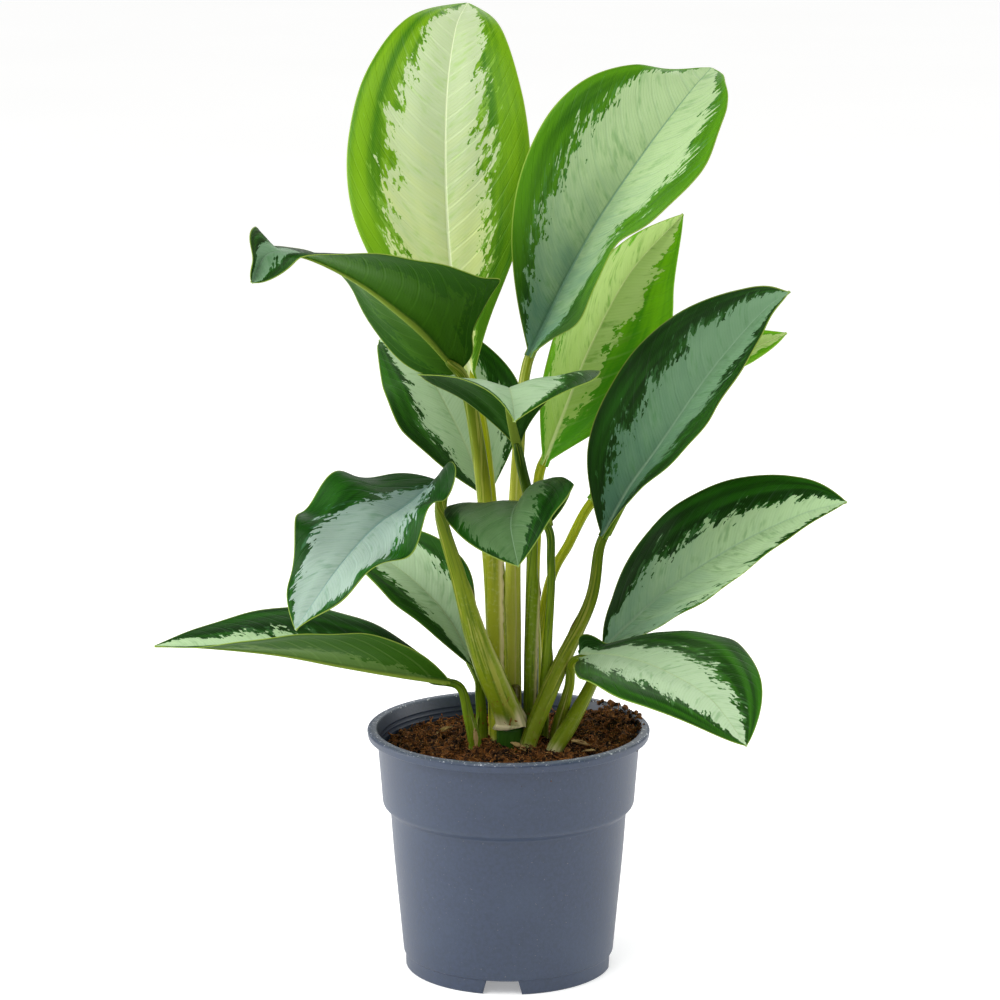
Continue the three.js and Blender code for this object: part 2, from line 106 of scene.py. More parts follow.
def storedValues(add, partsOf):
    # the values stored on the mesh, by the names of their parts
    values = {}
    for attribute, parts in partsOf.items():
        vector = add("Attribute", attribute_name=attribute).outputs["Vector"]
        values.update(zip(parts, add("SeparateXYZ", vector).outputs))
    return values


def layered(add, color, *layers):
    # colours laid over each other, each as far as its mask shows it
    for mask, over in layers:
        color = add("Mix RGBA", mask, color, over)
    return color


def meshObject(name, points, faces, material, smooth=True):
    mesh = bpy.data.meshes.new(name)
    mesh.from_pydata([tuple(p) for p in points], [], faces)
    mesh.materials.append(material)
    mesh.polygons.foreach_set("use_smooth", [smooth] * len(mesh.polygons))
    mesh.update()
    piece = bpy.data.objects.new(name, mesh)
    bpy.context.scene.collection.objects.link(piece)
    return piece


def storeVectors(piece, name, *columns):
    values = np.stack([np.broadcast_to(c, columns[0].shape) for c in columns], -1)
    layer = piece.data.attributes.new(name, "FLOAT_VECTOR", "POINT")
    layer.data.foreach_set("vector", values.astype(np.float32).ravel())


def onRoot(piece, slotName, *nodes):
    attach(piece, "root")
    if nodes:
        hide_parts(*nodes)


def gridFaces(index, closedAcross=False):
    # quads between neighbouring rows and columns of a grid of point numbers
    after = np.roll(index, -1, axis=1) if closedAcross else index[:, 1:]
    here = index if closedAcross else index[:, :-1]
    quads = np.stack([here[:-1], after[:-1], after[1:], here[1:]], -1)
    return quads.reshape(-1, 4).tolist()


def tubeFaces(rows, columns):
    # a tube of rings of points, closed by a face at each end
    index = np.arange(rows * columns).reshape(rows, columns)
    return gridFaces(index, closedAcross=True) + [index[0, ::-1].tolist(), index[-1].tolist()]


def sheetFaces(rows, columns):
    # a thin closed sheet: a grid of points, the same grid again below it, and the rim
    index = np.arange(rows * columns).reshape(rows, columns)
    below = index.size
    faces = gridFaces(index) + gridFaces(index[:, ::-1] + below)
    for line in (index[:, 0], index[-1, :], index[::-1, -1], index[0, ::-1]):
        faces += [[p, q, q + below, p + below] for p, q in zip(line[:-1], line[1:])]
    return faces


viewPoint = {
    "place": (-.0051, -2.1, .729),
    "pitch": 11.89,      # degrees below the horizon
    "lens": 130.2,       # on a 36 mm sensor
}

studio = {
    "floorColor": "#f6f6f5",
    "floorShade": "#f2f2f1",
    "floorReach": 16.0,
    "worldStrength": .80,
    "reflectedStrength": .14,
    "floorGlow": .30,
    "viewTransform": "Standard",
    "aim": (0, 0, .3),
}

studioLights = {
    "softboxLeft": {"place": (-1.6, .0, .7), "size": 1.3, "power": 24},
    "softboxRight": {"place": (1.6, .2, .6), "size": 1.1, "power": 12},
    "keyFromAbove": {"place": (-.6, -1.0, 1.9), "size": 1.2, "power": 20},
    "backLight": {"place": (.4, 1.6, 1.3), "size": 1.2, "power": 8},
}


def placeCamera():
    data = bpy.data.cameras.new("camera")
    data.sensor_width = 36
    data.lens = viewPoint["lens"]
    data.clip_end = 60
    camera = bpy.data.objects.new("camera", data)
    camera.location = viewPoint["place"]
    camera.rotation_euler = (math.radians(90 - viewPoint["pitch"]), 0, 0)
    bpy.context.scene.collection.objects.link(camera)
    bpy.context.scene.camera = camera


def makeFloor():
    # matt white studio paper
    material, tree = newMaterial("studioPaper")
    place = addNode(tree, "TexCoord").outputs["Object"]
    cloud = addNode(tree, "TexNoise", place, 1.5)
    tint = addNode(tree, "Mix RGBA", cloud, studio["floorColor"], studio["floorShade"])
    finishMaterial(
        tree, BaseColor=tint, Roughness=.9,
        EmissionColor="#ffffff", EmissionStrength=studio["floorGlow"])
    reach = studio["floorReach"]
    corners = [(-reach, -reach, 0), (reach, -reach, 0), (reach, reach, 0), (-reach, reach, 0)]
    floor = meshObject("studioFloor", corners, [(0, 1, 2, 3)], material, smooth=False)


def lightRoom():
    bpy.context.scene.view_settings.view_transform = studio["viewTransform"]
    world = bpy.data.worlds.new("studioWorld")
    bpy.context.scene.world = world
    world.use_nodes = True
    add = partial(addNode, world.node_tree)
    background = world.node_tree.nodes["Background"].inputs
    # reflections see a darker room, so only the softboxes shine, and the backdrop is white
    ray = add("LightPath").outputs
    light, reflected = studio["worldStrength"], studio["reflectedStrength"]
    strength = add("MapRange", ray["Is Glossy Ray"], 0, 1, light, reflected)
    strength = add("MapRange", ray["Is Camera Ray"], 0, 1, strength, 1)
    feed(world.node_tree, background["Color"], "#ffffff")
    feed(world.node_tree, background["Strength"], strength)


def placeLights():
    aim = Vector(studio["aim"])
    for name, light in studioLights.items():
        data = bpy.data.lights.new(name, "AREA")
        data.shape = "SQUARE"
        data.size = light["size"]
        data.energy = light["power"]
        lamp = bpy.data.objects.new(name, data)
        lamp.location = light["place"]
        lamp.rotation_euler = (aim - lamp.location).to_track_quat("-Z", "Y").to_euler()
        bpy.context.scene.collection.objects.link(lamp)


placeCamera()
makeFloor()
lightRoom()
placeLights()
print("camera, floor and lights placed")


# A leaf's spine runs along its midrib from the stalk to the tip, and facing is the way its
# upper side looks at the base, the middle and the tip. fold lifts a half towards that side
# and curl bends it on, in degrees; baseLift and tipLift turn its end up more sharply. swells
# widen a half in places: share of the length, spread and amount. The stalk's points run
# from its foot to the blade.
leafShapes = {
    "top": {
        "spine": [
            (-.021, .018, .354), (-.032, .03, .402), (-.037, .046, .46),
            (-.037, .062, .518), (-.032, .088, .557), (-.025, .125, .571),
        ],
        "facing": [(.1, -1, .1), (-.1, -1, .2), (0, -.6, 1)],
        "width": .11, "widest": .5, "baseShape": 1.15, "tipShape": .75,
        "left": {"fold": (12, 12, 12), "curl": (-15, -15, -15), "scale": 1.08},
        "right": {"fold": (12, 12, 12), "curl": (-15, -15, -15), "scale": .94},
        "stalk": [(-.007, .018, .126), (-.007, .018, .15), (-.009, .018, .25), (-.014, .018, .315)],
        "stalkRadii": (.005, .005, .004, .003),
    },
    "top_right": {
        "spine": [
            (.012, .014, .371), (.032, .006, .415), (.053, 0, .455),
            (.08, -.004, .496), (.104, .008, .526), (.119, .03, .54),
        ],
        "facing": [(-.5, -.8, .3), (-.5, -.8, .3), (-.3, -.8, .5)],
        "width": .112, "widest": .58, "baseShape": 1, "tipShape": .75,
        "left": {"fold": (60, 46, 0), "scale": 1.05},
        "right": {
            "fold": (22, 32, 10),
            "swells": ((.17, .08, .3), (.42, .11, -.28), (.69, .07, .14), (.92, .05, -.2)),
        },
        "stalk": [(.003, .014, .126), (.003, .014, .15), (.003, .012, .25), (.007, .012, .333)],
        "stalkRadii": (.0052, .0052, .004, .003),
    },
    "upper_left": {
        "spine": [
            (-.03, -.012, .366), (-.048, -.024, .39), (-.068, -.042, .411),
            (-.089, -.06, .429), (-.114, -.081, .444), (-.134, -.097, .448), (-.143, -.108, .433),
        ],
        "facing": [(0, 1, .1), (0, .35, .9), (0, -.4, 1)],
        "width": .116, "widest": .3, "baseShape": .6, "tipShape": .55,
        "left": {"fold": (-5, 5, 10), "swells": ((.09, .09, -.4), (.255, .035, .12))},
        "right": {"fold": (-5, 30, -40), "scale": .62, "tipLift": 125},
        "stalk": [
            (-.004, .006, .126), (-.005, .005, .15), (-.009, -.002, .24),
            (-.018, -.006, .32),
        ],
        "stalkRadii": (.0064, .0064, .0048, .0035),
    },
    "young": {
        "spine": [
            (.021, .033, .301), (.033, .043, .331), (.05, .056, .371),
            (.074, .07, .413), (.106, .08, .447),
        ],
        "facing": [(.1, -1, .1), (.1, -1, .1), (-.1, -1, .1)],
        "width": .088, "baseShape": 1.1, "tipShape": .95,
        "left": {"fold": (34, 53, 50)},
        "right": {"fold": (20, 10, 10)},
        "stalk": [(.017, .016, .126), (.017, .016, .15), (.015, .018, .222), (.017, .026, .27)],
        "stalkRadii": (.0045, .0045, .0035, .003),
    },
    "right_upper": {
        "spine": [
            (.056, .01, .262), (.071, .008, .291), (.088, .004, .317),
            (.118, -.008, .365), (.146, -.026, .403), (.161, -.042, .418),
        ],
        "facing": [(-.5, -.8, .5)] * 3,
        "width": .092, "tipShape": .95,
        "left": {"fold": (20, 20, 20), "swells": ((.2, .12, .16),)},
        "right": {"fold": (55, 38, 20)},
        "stalk": [
            (.0115, -.0145, .126), (.0128, -.0145, .143), (.0305, -.005, .185),
            (.049, .003, .225),
        ],
        "stalkRadii": (.0045, .005, .004, .003),
    },
    "right_middle": {
        "spine": [
            (.057, .02, .19), (.073, .022, .206), (.1, .016, .232),
            (.138, .004, .26), (.172, -.014, .281), (.197, -.034, .293),
        ],
        "facing": [(-.5, -.6, .8)] * 3,
        "width": .088, "tipShape": .85,
        "left": {"fold": (20, 20, 20)},
        "right": {"fold": (20, 20, 20)},
        "stalk": [(.027, -.018, .126), (.028, -.018, .138), (.038, -.01, .153), (.052, .008, .176)],
        "stalkRadii": (.0045, .0045, .0035, .003),
    },
    "right_lower": {
        "spine": [
            (.042, -.016, .195), (.054, -.028, .2), (.074, -.054, .203),
            (.094, -.084, .202), (.115, -.114, .195), (.133, -.146, .177),
        ],
        "facing": [(0, -.2, 1), (.2, -.4, 1), (.2, -.6, 1)],
        "width": .096, "tipShape": .85,
        "left": {
            "fold": (10, 18, 10), "curl": (-10, -10, -10), "baseLift": 80,
            "swells": ((.02, .025, .9), (.16, .06, .14)),
        },
        "right": {"fold": (5, 5, 5), "curl": (-10, -10, -10)},
        "stalk": [(.029, .001, .126), (.029, .001, .142), (.036, -.006, .172)],
        "stalkRadii": (.004, .004, .003, .0025),
    },
    "left_lowest": {
        "spine": [
            (-.035, -.02, .181), (-.064, -.026, .187), (-.098, -.03, .194),
            (-.136, -.034, .202), (-.179, -.038, .207), (-.208, -.04, .208),
        ],
        "facing": [(.3, 0, 1), (0, 0, 1), (0, 0, 1)],
        "width": .088, "tipShape": .95,
        "left": {"fold": (60, 34, 5)},
        "right": {"fold": (40, 30, 20)},
        "stalk": [(-.02, -.016, .126), (-.02, -.016, .142), (-.024, -.017, .16)],
        "stalkRadii": (.004, .004, .003, .0025),
    },
    "left_drooping": {
        "spine": [
            (-.041, -.038, .3065), (-.059, -.063, .297), (-.076, -.088, .29),
            (-.096, -.118, .273), (-.119, -.146, .244),
        ],
        "facing": [(0, 0, 1), (-.1, -.3, 1), (-.5, -.5, .6)],
        "width": .088, "baseShape": .44, "tipShape": .85,
        "left": {
            "fold": (58, 22, 20), "curl": (-10, -10, -10), "scale": .94,
            "swells": ((.14, .1, .36),),
        },
        "right": {"fold": (20, 25, 10), "curl": (-10, -10, -10), "swells": ((.68, .12, -.19),)},
        "wave": {"height": .006, "count": 3.1},
        "stalk": [
            (.001, -.008, .1503), (.001, -.008, .156), (-.018, -.024, .206),
            (-.03, -.0315, .25), (-.0395, -.037, .286),
        ],
        "stalkRadii": (.0088, .0084, .0055, .0042, .003),
    },
    "left_behind": {
        "spine": [
            (-.02, -.004, .185), (-.036, .008, .213), (-.058, .02, .234),
            (-.081, .03, .248), (-.102, .038, .258),
        ],
        "facing": [(.3, -.8, .5)] * 3,
        "width": .082, "tipShape": .95,
        "left": {"fold": (35, 30, 20), "scale": .75},
        "right": {"fold": (45, 40, 10), "scale": .76, "swells": ((.2, .12, -.3),)},
        "stalk": [(-.016, .006, .126), (-.016, .006, .148), (-.017, .001, .166)],
        "stalkRadii": (.0035, .0035, .003, .003),
    },
    "front_upper": {
        "spine": [
            (.0065, -.018, .317), (0, -.036, .35), (0, -.066, .3665),
            (.002, -.104, .3645), (.003, -.136, .36),
        ],
        "facing": [(0, .8, .6), (0, 0, 1), (0, -.5, 1)],
        "width": .112, "widest": .6, "baseShape": 1.6, "tipShape": .75,
        "left": {"fold": (35, 20, 40), "curl": (0, -20, -20), "scale": .94},
        "right": {
            "fold": (45, 17, 70), "curl": (-20, -20, -20), "scale": .96,
            "swells": ((.85, .13, -.25),),
        },
        "stalk": [
            (.0135, .007, .126), (.0135, .007, .15), (.014, -.001, .227),
            (.0135, -.010, .278),
        ],
        "stalkRadii": (.0045, .0045, .0035, .003),
    },
    "front_lower": {
        "spine": [
            (.023, -.024, .276), (.018, -.038, .291), (.006, -.064, .299),
            (.001, -.1, .294), (.005, -.132, .277),
        ],
        "facing": [(0, .8, .6), (0, 0, 1), (0, -.5, 1)],
        "width": .084, "widest": .45, "tipShape": .85,
        "left": {"fold": (80, 65, 30), "curl": (-120, -90, 0), "scale": .95},
        "right": {"fold": (10, 0, 0), "curl": (-10, -10, -10)},
        "stalk": [(.021, .004, .126), (.021, .004, .15), (.025, -.006, .227), (.025, -.014, .254)],
        "stalkRadii": (.0035, .0035, .0025, .0025),
    },
    "back_left": {
        "spine": [
            (-.012, .03, .281), (-.022, .038, .304), (-.033, .048, .326),
            (-.049, .062, .351), (-.071, .078, .367), (-.079, .086, .369),
        ],
        "facing": [(.3, -.9, .3)] * 3,
        "width": .092, "baseShape": 1.1, "tipShape": .95,
        "left": {"fold": (30, 30, 30)},
        "right": {"fold": (10, 10, 10)},
        "stalk": [(-.001, .027, .126), (-.001, .027, .15), (-.004, .027, .221)],
        "stalkRadii": (.0045, .0045, .0035, .003),
    },
    "back_right": {
        "spine": [
            (.05, .05, .276), (.08, .064, .311), (.117, .078, .342),
            (.145, .088, .36), (.171, .094, .372),
        ],
        "facing": [(-.4, -.6, .7)] * 3,
        "width": .064, "tipShape": .95,
        "left": {"fold": (50, 50, 50)},
        "right": {"fold": (50, 50, 0)},
        "stalk": [(.013, .026, .126), (.013, .026, .15), (.024, .031, .225), (.037, .04, .252)],
        "stalkRadii": (.004, .004, .003, .003),
    },
}

# what a leaf and its halves have where their row says nothing else
plainLeaf = {"widest": .46, "baseShape": .85, "wave": {"height": 0, "count": 0}}
plainHalf = {"curl": (0, 0, 0), "scale": 1, "swells": (), "baseLift": 0, "tipLift": 0}

# left and right: how far the pale middle reaches across each half, at the base, middle and tip
leafLooks = {
    "top": {"skin": "creamLeaf", "left": (.50, .58, .34), "right": (.50, .50, .55)},
    "top_right": {"skin": "sageLeaf", "left": (.74, .60, .80), "right": (.58, .66, .72)},
    "upper_left": {"skin": "darkLeaf", "left": (.62, .55, .50), "right": (.62, .55, .50)},
    "young": {"skin": "youngLeaf", "left": (.70, .90, 1.0), "right": (.20, .35, .46)},
    "right_upper": {"skin": "darkLeaf", "left": (.50, .52, .62), "right": (.80, .56, .62)},
    "right_middle": {"skin": "brightDarkLeaf", "left": (.60, .46, .40), "right": (.95, .98, .62)},
    "right_lower": {"skin": "silverLeaf", "left": (.30, .40, .34), "right": (.78, .52, .36)},
    "left_lowest": {"skin": "brightDarkLeaf", "left": (.26, .40, .44), "right": (.10, .42, .44)},
    "left_drooping": {"skin": "blueLeaf", "left": (.08, .74, .74), "right": (.02, .56, .76)},
    "left_behind": {"skin": "silverLeaf", "left": (.62, .50, .40), "right": (.60, .56, .45)},
    "front_upper": {"skin": "wingedLeaf", "left": (.60, .62, .50), "right": (.70, .60, .60)},
    "front_lower": {"skin": "shadyLeaf", "left": (.60, .58, .40), "right": (.70, .86, .66)},
    "back_left": {"skin": "silverLeaf", "left": (.62, .52, .48), "right": (.80, .70, .60)},
    "back_right": {"skin": "youngLeaf", "left": (.50, .50, .50), "right": (.50, .50, .50)},
}

# how much painted light brightens the green by the margin, and how far thin places in the silver
# show, where a skin's row says nothing else
plainSkin = {"edgeLight": .14, "cloud": .45}

# margin: light and dark green, and marginBase its green at the base; middle: the pale part
# at the base and at the tip; splash: green tissue under the silver
leafSkins = {
    "creamLeaf": {
        "margin": ("#699604", "#356a02"), "middle": ("#beca79", "#abbb90"), "splash": "#86b040",
        "rib": "#dbe5bb", "under": "#5c8416", "underMiddle": "#93ab5c", "sideVein": "#d6e3b6",
        "veinShow": .13, "edgeLight": .32,
    },
    "youngLeaf": {
        "margin": ("#6fb304", "#418902"), "middle": ("#90b54b", "#b0cc78"), "splash": "#62942a",
        "rib": "#d3e09f", "under": "#5c8416", "underMiddle": "#8aa650", "sideVein": "#c6da90",
        "veinShow": .13, "edgeLight": .32, "cloud": .8,
    },
    "sageLeaf": {
        "margin": ("#498003", "#174701"), "middle": ("#577e66", "#9cb583"), "splash": "#4a7d3c",
        "rib": "#658a70", "under": "#3c6410", "underMiddle": "#6b8650", "sideVein": "#668b72",
        "veinShow": .12, "edgeLight": .32, "marginBase": "#0d3404",
    },
    "silverLeaf": {
        "margin": ("#2f6a08", "#123802"), "middle": ("#93af86", "#aac29c"), "splash": "#4b8040",
        "rib": "#a4b98d", "under": "#355a0b", "underMiddle": "#667c4a", "sideVein": "#7c9b76",
        "veinShow": .09,
    },
    "darkLeaf": {
        "margin": ("#1f5406", "#0c2a01"), "middle": ("#40654e", "#688a68"), "splash": "#386a35",
        "rib": "#7f9a7e", "under": "#255201", "underMiddle": "#3e6c0c", "sideVein": "#628565",
        "veinShow": .08,
    },
    # darkLeaf with a lighter silver, for leaves that sit in more light: painted light
    "brightDarkLeaf": {
        "margin": ("#205906", "#0c2e01"), "middle": ("#74987d", "#a9c596"), "splash": "#3f7439",
        "rib": "#8fab8c", "under": "#2b5203", "underMiddle": "#5d7a3a", "sideVein": "#779a7c",
        "veinShow": .08,
    },
    "wingedLeaf": {
        "margin": ("#2f6a0c", "#113604"), "middle": ("#8daa82", "#a3bd98"), "splash": "#4b8040",
        "rib": "#a4b98d", "under": "#1d4506", "underMiddle": "#2c5812", "sideVein": "#7c9b76",
        "veinShow": .10,
    },
    "blueLeaf": {
        "margin": ("#28660f", "#103806"), "middle": ("#708a81", "#8ea395"), "splash": "#3f704c",
        "rib": "#7f9f96", "under": "#34590f", "underMiddle": "#6a8060", "sideVein": "#688d84",
        "veinShow": .08,
    },
    # a darkened skin for a leaf that sits in shade: painted shade
    "shadyLeaf": {
        "margin": ("#1f560a", "#0c3003"), "middle": ("#38542e", "#537247"), "splash": "#2a5722",
        "rib": "#7b9876", "under": "#1c4205", "underMiddle": "#2f5413", "sideVein": "#486a45",
        "veinShow": .10,
    },
}

blade = {
    "thickness": .0007,
    "marginThickness": .0004,
    "stations": 130,
    "ribColumns": (0, .22, .45, .7, .9, 1.05, 1.3),   # in rib radii
    "outerColumns": 19,
    "ribRadius": .0027,
    "ribTipRadius": .0004,
    "ribTaper": 1.2,
    "ribDrop": 1.3,           # depth of the rib below the blade, in rib radii
    "grooveDepth": .22,       # along the top of the rib, in rib radii
    "veinSpacing": .0135,
    "veinSlant": (.66, .75),  # how side veins lean to the tip, at the rib and by the margin
    "veinRelief": .00022,
    "pleats": 1.7,
    "pleatHeight": .0006,
    "ruffle": .0009,
    "ruffleLength": .052,
    "tipHalfWidth": .0007,
    "baseLiftTo": (.02, .07),   # stretches where a half can turn up sharply
    "tipLiftFrom": (.80, .96),
}


def softStep(s, begin, end):
    # 0 before the beginning and 1 after the end
    t = np.clip((s - begin) / (end - begin), 0, 1)
    return t ** 2 * (3 - 2 * t)


def throughThree(values, s):
    # a smooth run through the values at the base, the middle and the tip
    base, middle, tip = values
    return base * (1 - s) * (1 - 2 * s) + 4 * middle * s * (1 - s) + tip * s * (2 * s - 1)


def unit(vectors):
    return vectors / np.linalg.norm(vectors, axis=-1, keepdims=True)


def smoothPath(points, count=1200):
    # a curve through the points, with its length from the start to each place on it
    p = np.array(points, dtype=float)
    p = np.vstack([2 * p[0] - p[1], p, 2 * p[-1] - p[-2]])
    t = np.linspace(0, len(points) - 1, count)
    i = np.minimum(t.astype(int), len(points) - 2)
    f = (t - i)[:, None]
    a, b, c, d = p[i], p[i + 1], p[i + 2], p[i + 3]
    square = 2 * a - 5 * b + 4 * c - d
    cube = 3 * b - a - 3 * c + d
    curve = .5 * (2 * b + (c - a) * f + square * f ** 2 + cube * f ** 3)
    steps = np.linalg.norm(np.diff(curve, axis=0), axis=1)
    return curve, np.concatenate([[0], np.cumsum(steps)])


def pathAt(path, s):
    # places and directions at shares s of the path's length
    curve, lengths = path

    def at(wanted):
        return np.stack([np.interp(wanted, lengths, curve[:, k]) for k in range(3)], -1)

    wanted = np.asarray(s) * lengths[-1]
    step = lengths[-1] * 1e-3
    return at(wanted), unit(at(wanted + step) - at(wanted - step))


def bladeFrames(shape, s):
    # along the midrib: its places and directions, the blade's up and right, and its length
    path = smoothPath(shape["spine"])
    centre, along = pathAt(path, s)
    looks = unit(np.array(shape["facing"], dtype=float))
    facing = np.stack([throughThree(looks[:, k], s) for k in range(3)], -1)
    up = unit(facing - (facing * along).sum(-1, keepdims=True) * along)
    return centre, along, up, np.cross(along, up), path[1][-1]


def halfWidths(shape, s):
    # the outline: half the width, from the base to the widest place and on to the tip
    widest = shape["widest"]
    rising = np.sin(np.pi / 2 * np.minimum(s / widest, 1)) ** shape["baseShape"]
    fall = np.clip((s - widest) / (1 - widest), 0, 1)
    falling = np.maximum(np.cos(np.pi / 2 * fall), 0) ** shape["tipShape"]
    width = shape["width"] / 2 * np.where(s < widest, rising, falling)
    least = shape["stalkRadii"][-1] * (1 - s) + blade["tipHalfWidth"] * s
    return np.maximum(width, least)


def bentReach(fold, curl, reach):
    # out and up of a strip that starts at the fold angle and curls as it goes
    turn = np.where(np.abs(curl) < 1e-4, 1e-4, curl)
    out = (np.sin(fold + turn * reach) - np.sin(fold)) / turn
    up = (np.cos(fold) - np.cos(fold + turn * reach)) / turn
    return out, up


def surfaceShift(s, length, reach, vein, side, seed):
    # sunk along each side vein, with long soft pleats and a faintly ruffled margin
    rounded = np.clip(np.sin(np.pi * s), 0, 1)[:, None]
    quilt = np.abs(np.sin(np.pi * vein / blade["veinSpacing"])) - .6
    calm = np.clip(reach / .12, 0, 1) * np.clip((1 - reach) / .2, 0, 1) * rounded ** .4
    wander = 1.2 * np.sin(2.3 * np.pi * s + seed * 1.3)[:, None]
    pleat = np.sin(2 * np.pi * blade["pleats"] * reach + wander) * np.clip(reach / .3, 0, 1)
    beat = 2 * np.pi * (s * length / blade["ruffleLength"])[:, None]
    ruffle = np.sin(beat + seed * 1.7 + side) * np.sin(beat / 2.7 + seed * 2.9) * rounded
    shift = blade["veinRelief"] * quilt * calm + blade["pleatHeight"] * pleat * rounded
    return shift + blade["ruffle"] * reach ** 2 * ruffle


def bladeHalf(shape, side, s, frames, width, half, seed):
    # one half of the upper surface, as rows of points from the midrib to the margin
    centre, _, up, right, length = frames
    part = plainHalf | shape["left" if side < 0 else "right"]
    turned = part["tipLift"] * softStep(s, *blade["tipLiftFrom"])
    turned = turned + part["baseLift"] * (1 - softStep(s, *blade["baseLiftTo"]))
    fold = np.radians(throughThree(part["fold"], s) + turned)[:, None]
    curl = np.radians(throughThree(part["curl"], s))[:, None]
    reach = half / width[:, None]
    out, lift = bentReach(fold, curl, reach)
    swell = np.ones(s.shape)
    for place, spread, amount in part["swells"]:
        swell = swell + amount * np.exp(-((s - place) / spread) ** 2)
    wide = (width * swell)[:, None] * part["scale"]
    wave = shape["wave"]
    beat = np.sin(np.pi * s) * np.sin(2 * np.pi * wave["count"] * s + (2 if side > 0 else 0))
    ripple = wave["height"] * reach ** 2 * beat[:, None]
    tilt = (fold + curl * reach)[..., None]
    outward = side * right[:, None]
    normal = up[:, None] * np.cos(tilt) - outward * np.sin(tilt)
    point = centre[:, None] + outward * (wide * out)[..., None]
    point = point + up[:, None] * (wide * lift + ripple)[..., None]
    metres = half * part["scale"] * swell[:, None]
    slant, bend = blade["veinSlant"]
    vein = s[:, None] * length - slant * metres - bend * metres * reach ** 2
    point = point + normal * surfaceShift(s, length, reach, vein, side, seed)[..., None]
    return {
        "point": point, "normal": normal, "reach": reach,
        "metres": metres, "vein": vein, "edge": wide - metres,
    }


def bladeColumns(s, width):
    # each column's distance from the midrib, close together over it, and the rib's radius
    ribSteps = np.array(blade["ribColumns"])
    tipRadius = blade["ribTipRadius"]
    radius = tipRadius + (blade["ribRadius"] - tipRadius) * (1 - s) ** blade["ribTaper"]
    ribReach = np.minimum(radius * ribSteps[-1], width * .9)[:, None]
    rest = np.linspace(0, 1, blade["outerColumns"] + 1)[1:]
    inner = ribReach * ribSteps / ribSteps[-1]
    outer = ribReach + (width[:, None] - ribReach) * rest
    return np.concatenate([inner, outer], axis=1), ribReach / ribSteps[-1]


def bladePiece(name, shape, look, seed, material):
    s = np.linspace(0, 1, blade["stations"] + 1)
    s = s - np.sin(2 * np.pi * s) / (4 * np.pi)      # closer sections at both ends
    frames = bladeFrames(shape, s)
    width = halfWidths(shape, s)
    half, ribRadius = bladeColumns(s, width)
    left = bladeHalf(shape, -1, s, frames, width, half, seed)
    right = bladeHalf(shape, 1, s, frames, width, half, seed)

    def across(key):
        # both halves as one row, from the left margin to the right one
        return np.concatenate([left[key][:, :0:-1], right[key]], axis=1)

    point, normal, reach = across("point"), across("normal"), across("reach")
    sign = np.where(np.arange(reach.shape[1]) < half.shape[1] - 1, -1, 1)
    x = np.concatenate([half[:, :0:-1], half], axis=1)
    inRib = np.clip(x / ribRadius, 0, 1)
    ribDepth = ribRadius * np.sqrt(1 - inRib ** 2) * blade["ribDrop"]
    groove = blade["grooveDepth"] * ribRadius * np.exp(-(x / (.45 * ribRadius)) ** 2)
    thick = blade["thickness"] + (blade["marginThickness"] - blade["thickness"]) * reach ** 3
    upper = point - normal * groove[..., None]
    lower = point - normal * (thick + ribDepth)[..., None]
    points = np.concatenate([upper.reshape(-1, 3), lower.reshape(-1, 3)])
    piece = meshObject(name, points, sheetFaces(*reach.shape), material)

    def both(values):
        return np.tile(np.broadcast_to(values, reach.shape).ravel(), 2)

    storeVectors(piece, "leafPlace", both(sign * reach), both(s[:, None]), both(across("edge")))
    storeVectors(piece, "veinPlace", both(across("vein")), both(across("metres")), both(inRib))
    under = np.repeat([0, 1], reach.size)
    shares = [throughThree(look[side], s)[:, None] for side in ("left", "right")]
    share = np.where(sign < 0, *shares)
    storeVectors(piece, "leafLook", under, both(share), np.array(seed * leafStep))
    return piece


# what is stored on a blade's points: across is -1 and 1 at the margins, along runs from 0
# to 1, and edge, vein and distance are in metres
leafValues = {
    "leafPlace": ("across", "along", "edge"),
    "veinPlace": ("vein", "distance", "rib"),
    "leafLook": ("under", "share", "seed"),
}
leafStep = 3.1    # sets the patterns of one leaf apart from the next

# the torn edge of the pale middle: size across the veins, stretch along them, detail, weight
tornEdge = ((.021, 1.2, 1, .44), (.0095, .8, 1, .40), (.0034, .65, 1, .26))
tissueBlocks = ((.0048, .9, .12), (.0019, .9, .13))    # size, stretch and weight
# the other patterns: size across the veins in metres, stretch along them and detail
leafPatterns = {
    "grain": (.0011, 5, 3),
    "thinSilver": (.0032, 2.4, 3),
    "splash": (.005, 3, 2),
    "cast": (.012, 2, 2),
    "veinWander": (.02, 3, 2),
    "veinFade": (.03, 2, 2),
}
leafMarks = {
    "sideVein": .0009,       # half-widths of the veins, in metres
    "fineVein": .0003,
    "fineVeins": 6,          # to one side vein
    "marginLine": (.0002, .0009),
    # painted light and shade of the pleats, in soft bands
    "bands": (7, 2.2),       # soft bands in the green, across a half and along the leaf
    "halfStep": 5.3,         # sets the patterns of the two halves apart
}


def alongVeins(add, at, size, stretch):
    # a place drawn out along the side veins; size is a cell's width across them
    across = add("Math DIVIDE", at["vein"], size)
    outward = add("Math DIVIDE", at["distance"], size * stretch)
    return add("CombineXYZ", across, outward, at["strand"])


def streaks(add, at, size, stretch, detail):
    return add("TexNoise", alongVeins(add, at, size, stretch), 1, detail)


def veinLines(add, at, spacing, halfWidth):
    # a line at every spacing, which wanders a little
    wander = streaks(add, at, *leafPatterns["veinWander"])
    wander = add("Math MULTIPLY_ADD", wander, spacing * .35, at["vein"])
    saw = add("Math FRACT", add("Math DIVIDE", wander, spacing))
    off = add("Math SUBTRACT", .5, add("Math ABSOLUTE", add("Math SUBTRACT", saw, .5)))
    near = halfWidth / spacing
    return add("MapRange SMOOTHSTEP", off, near * .4, near * 1.6, 1, 0)


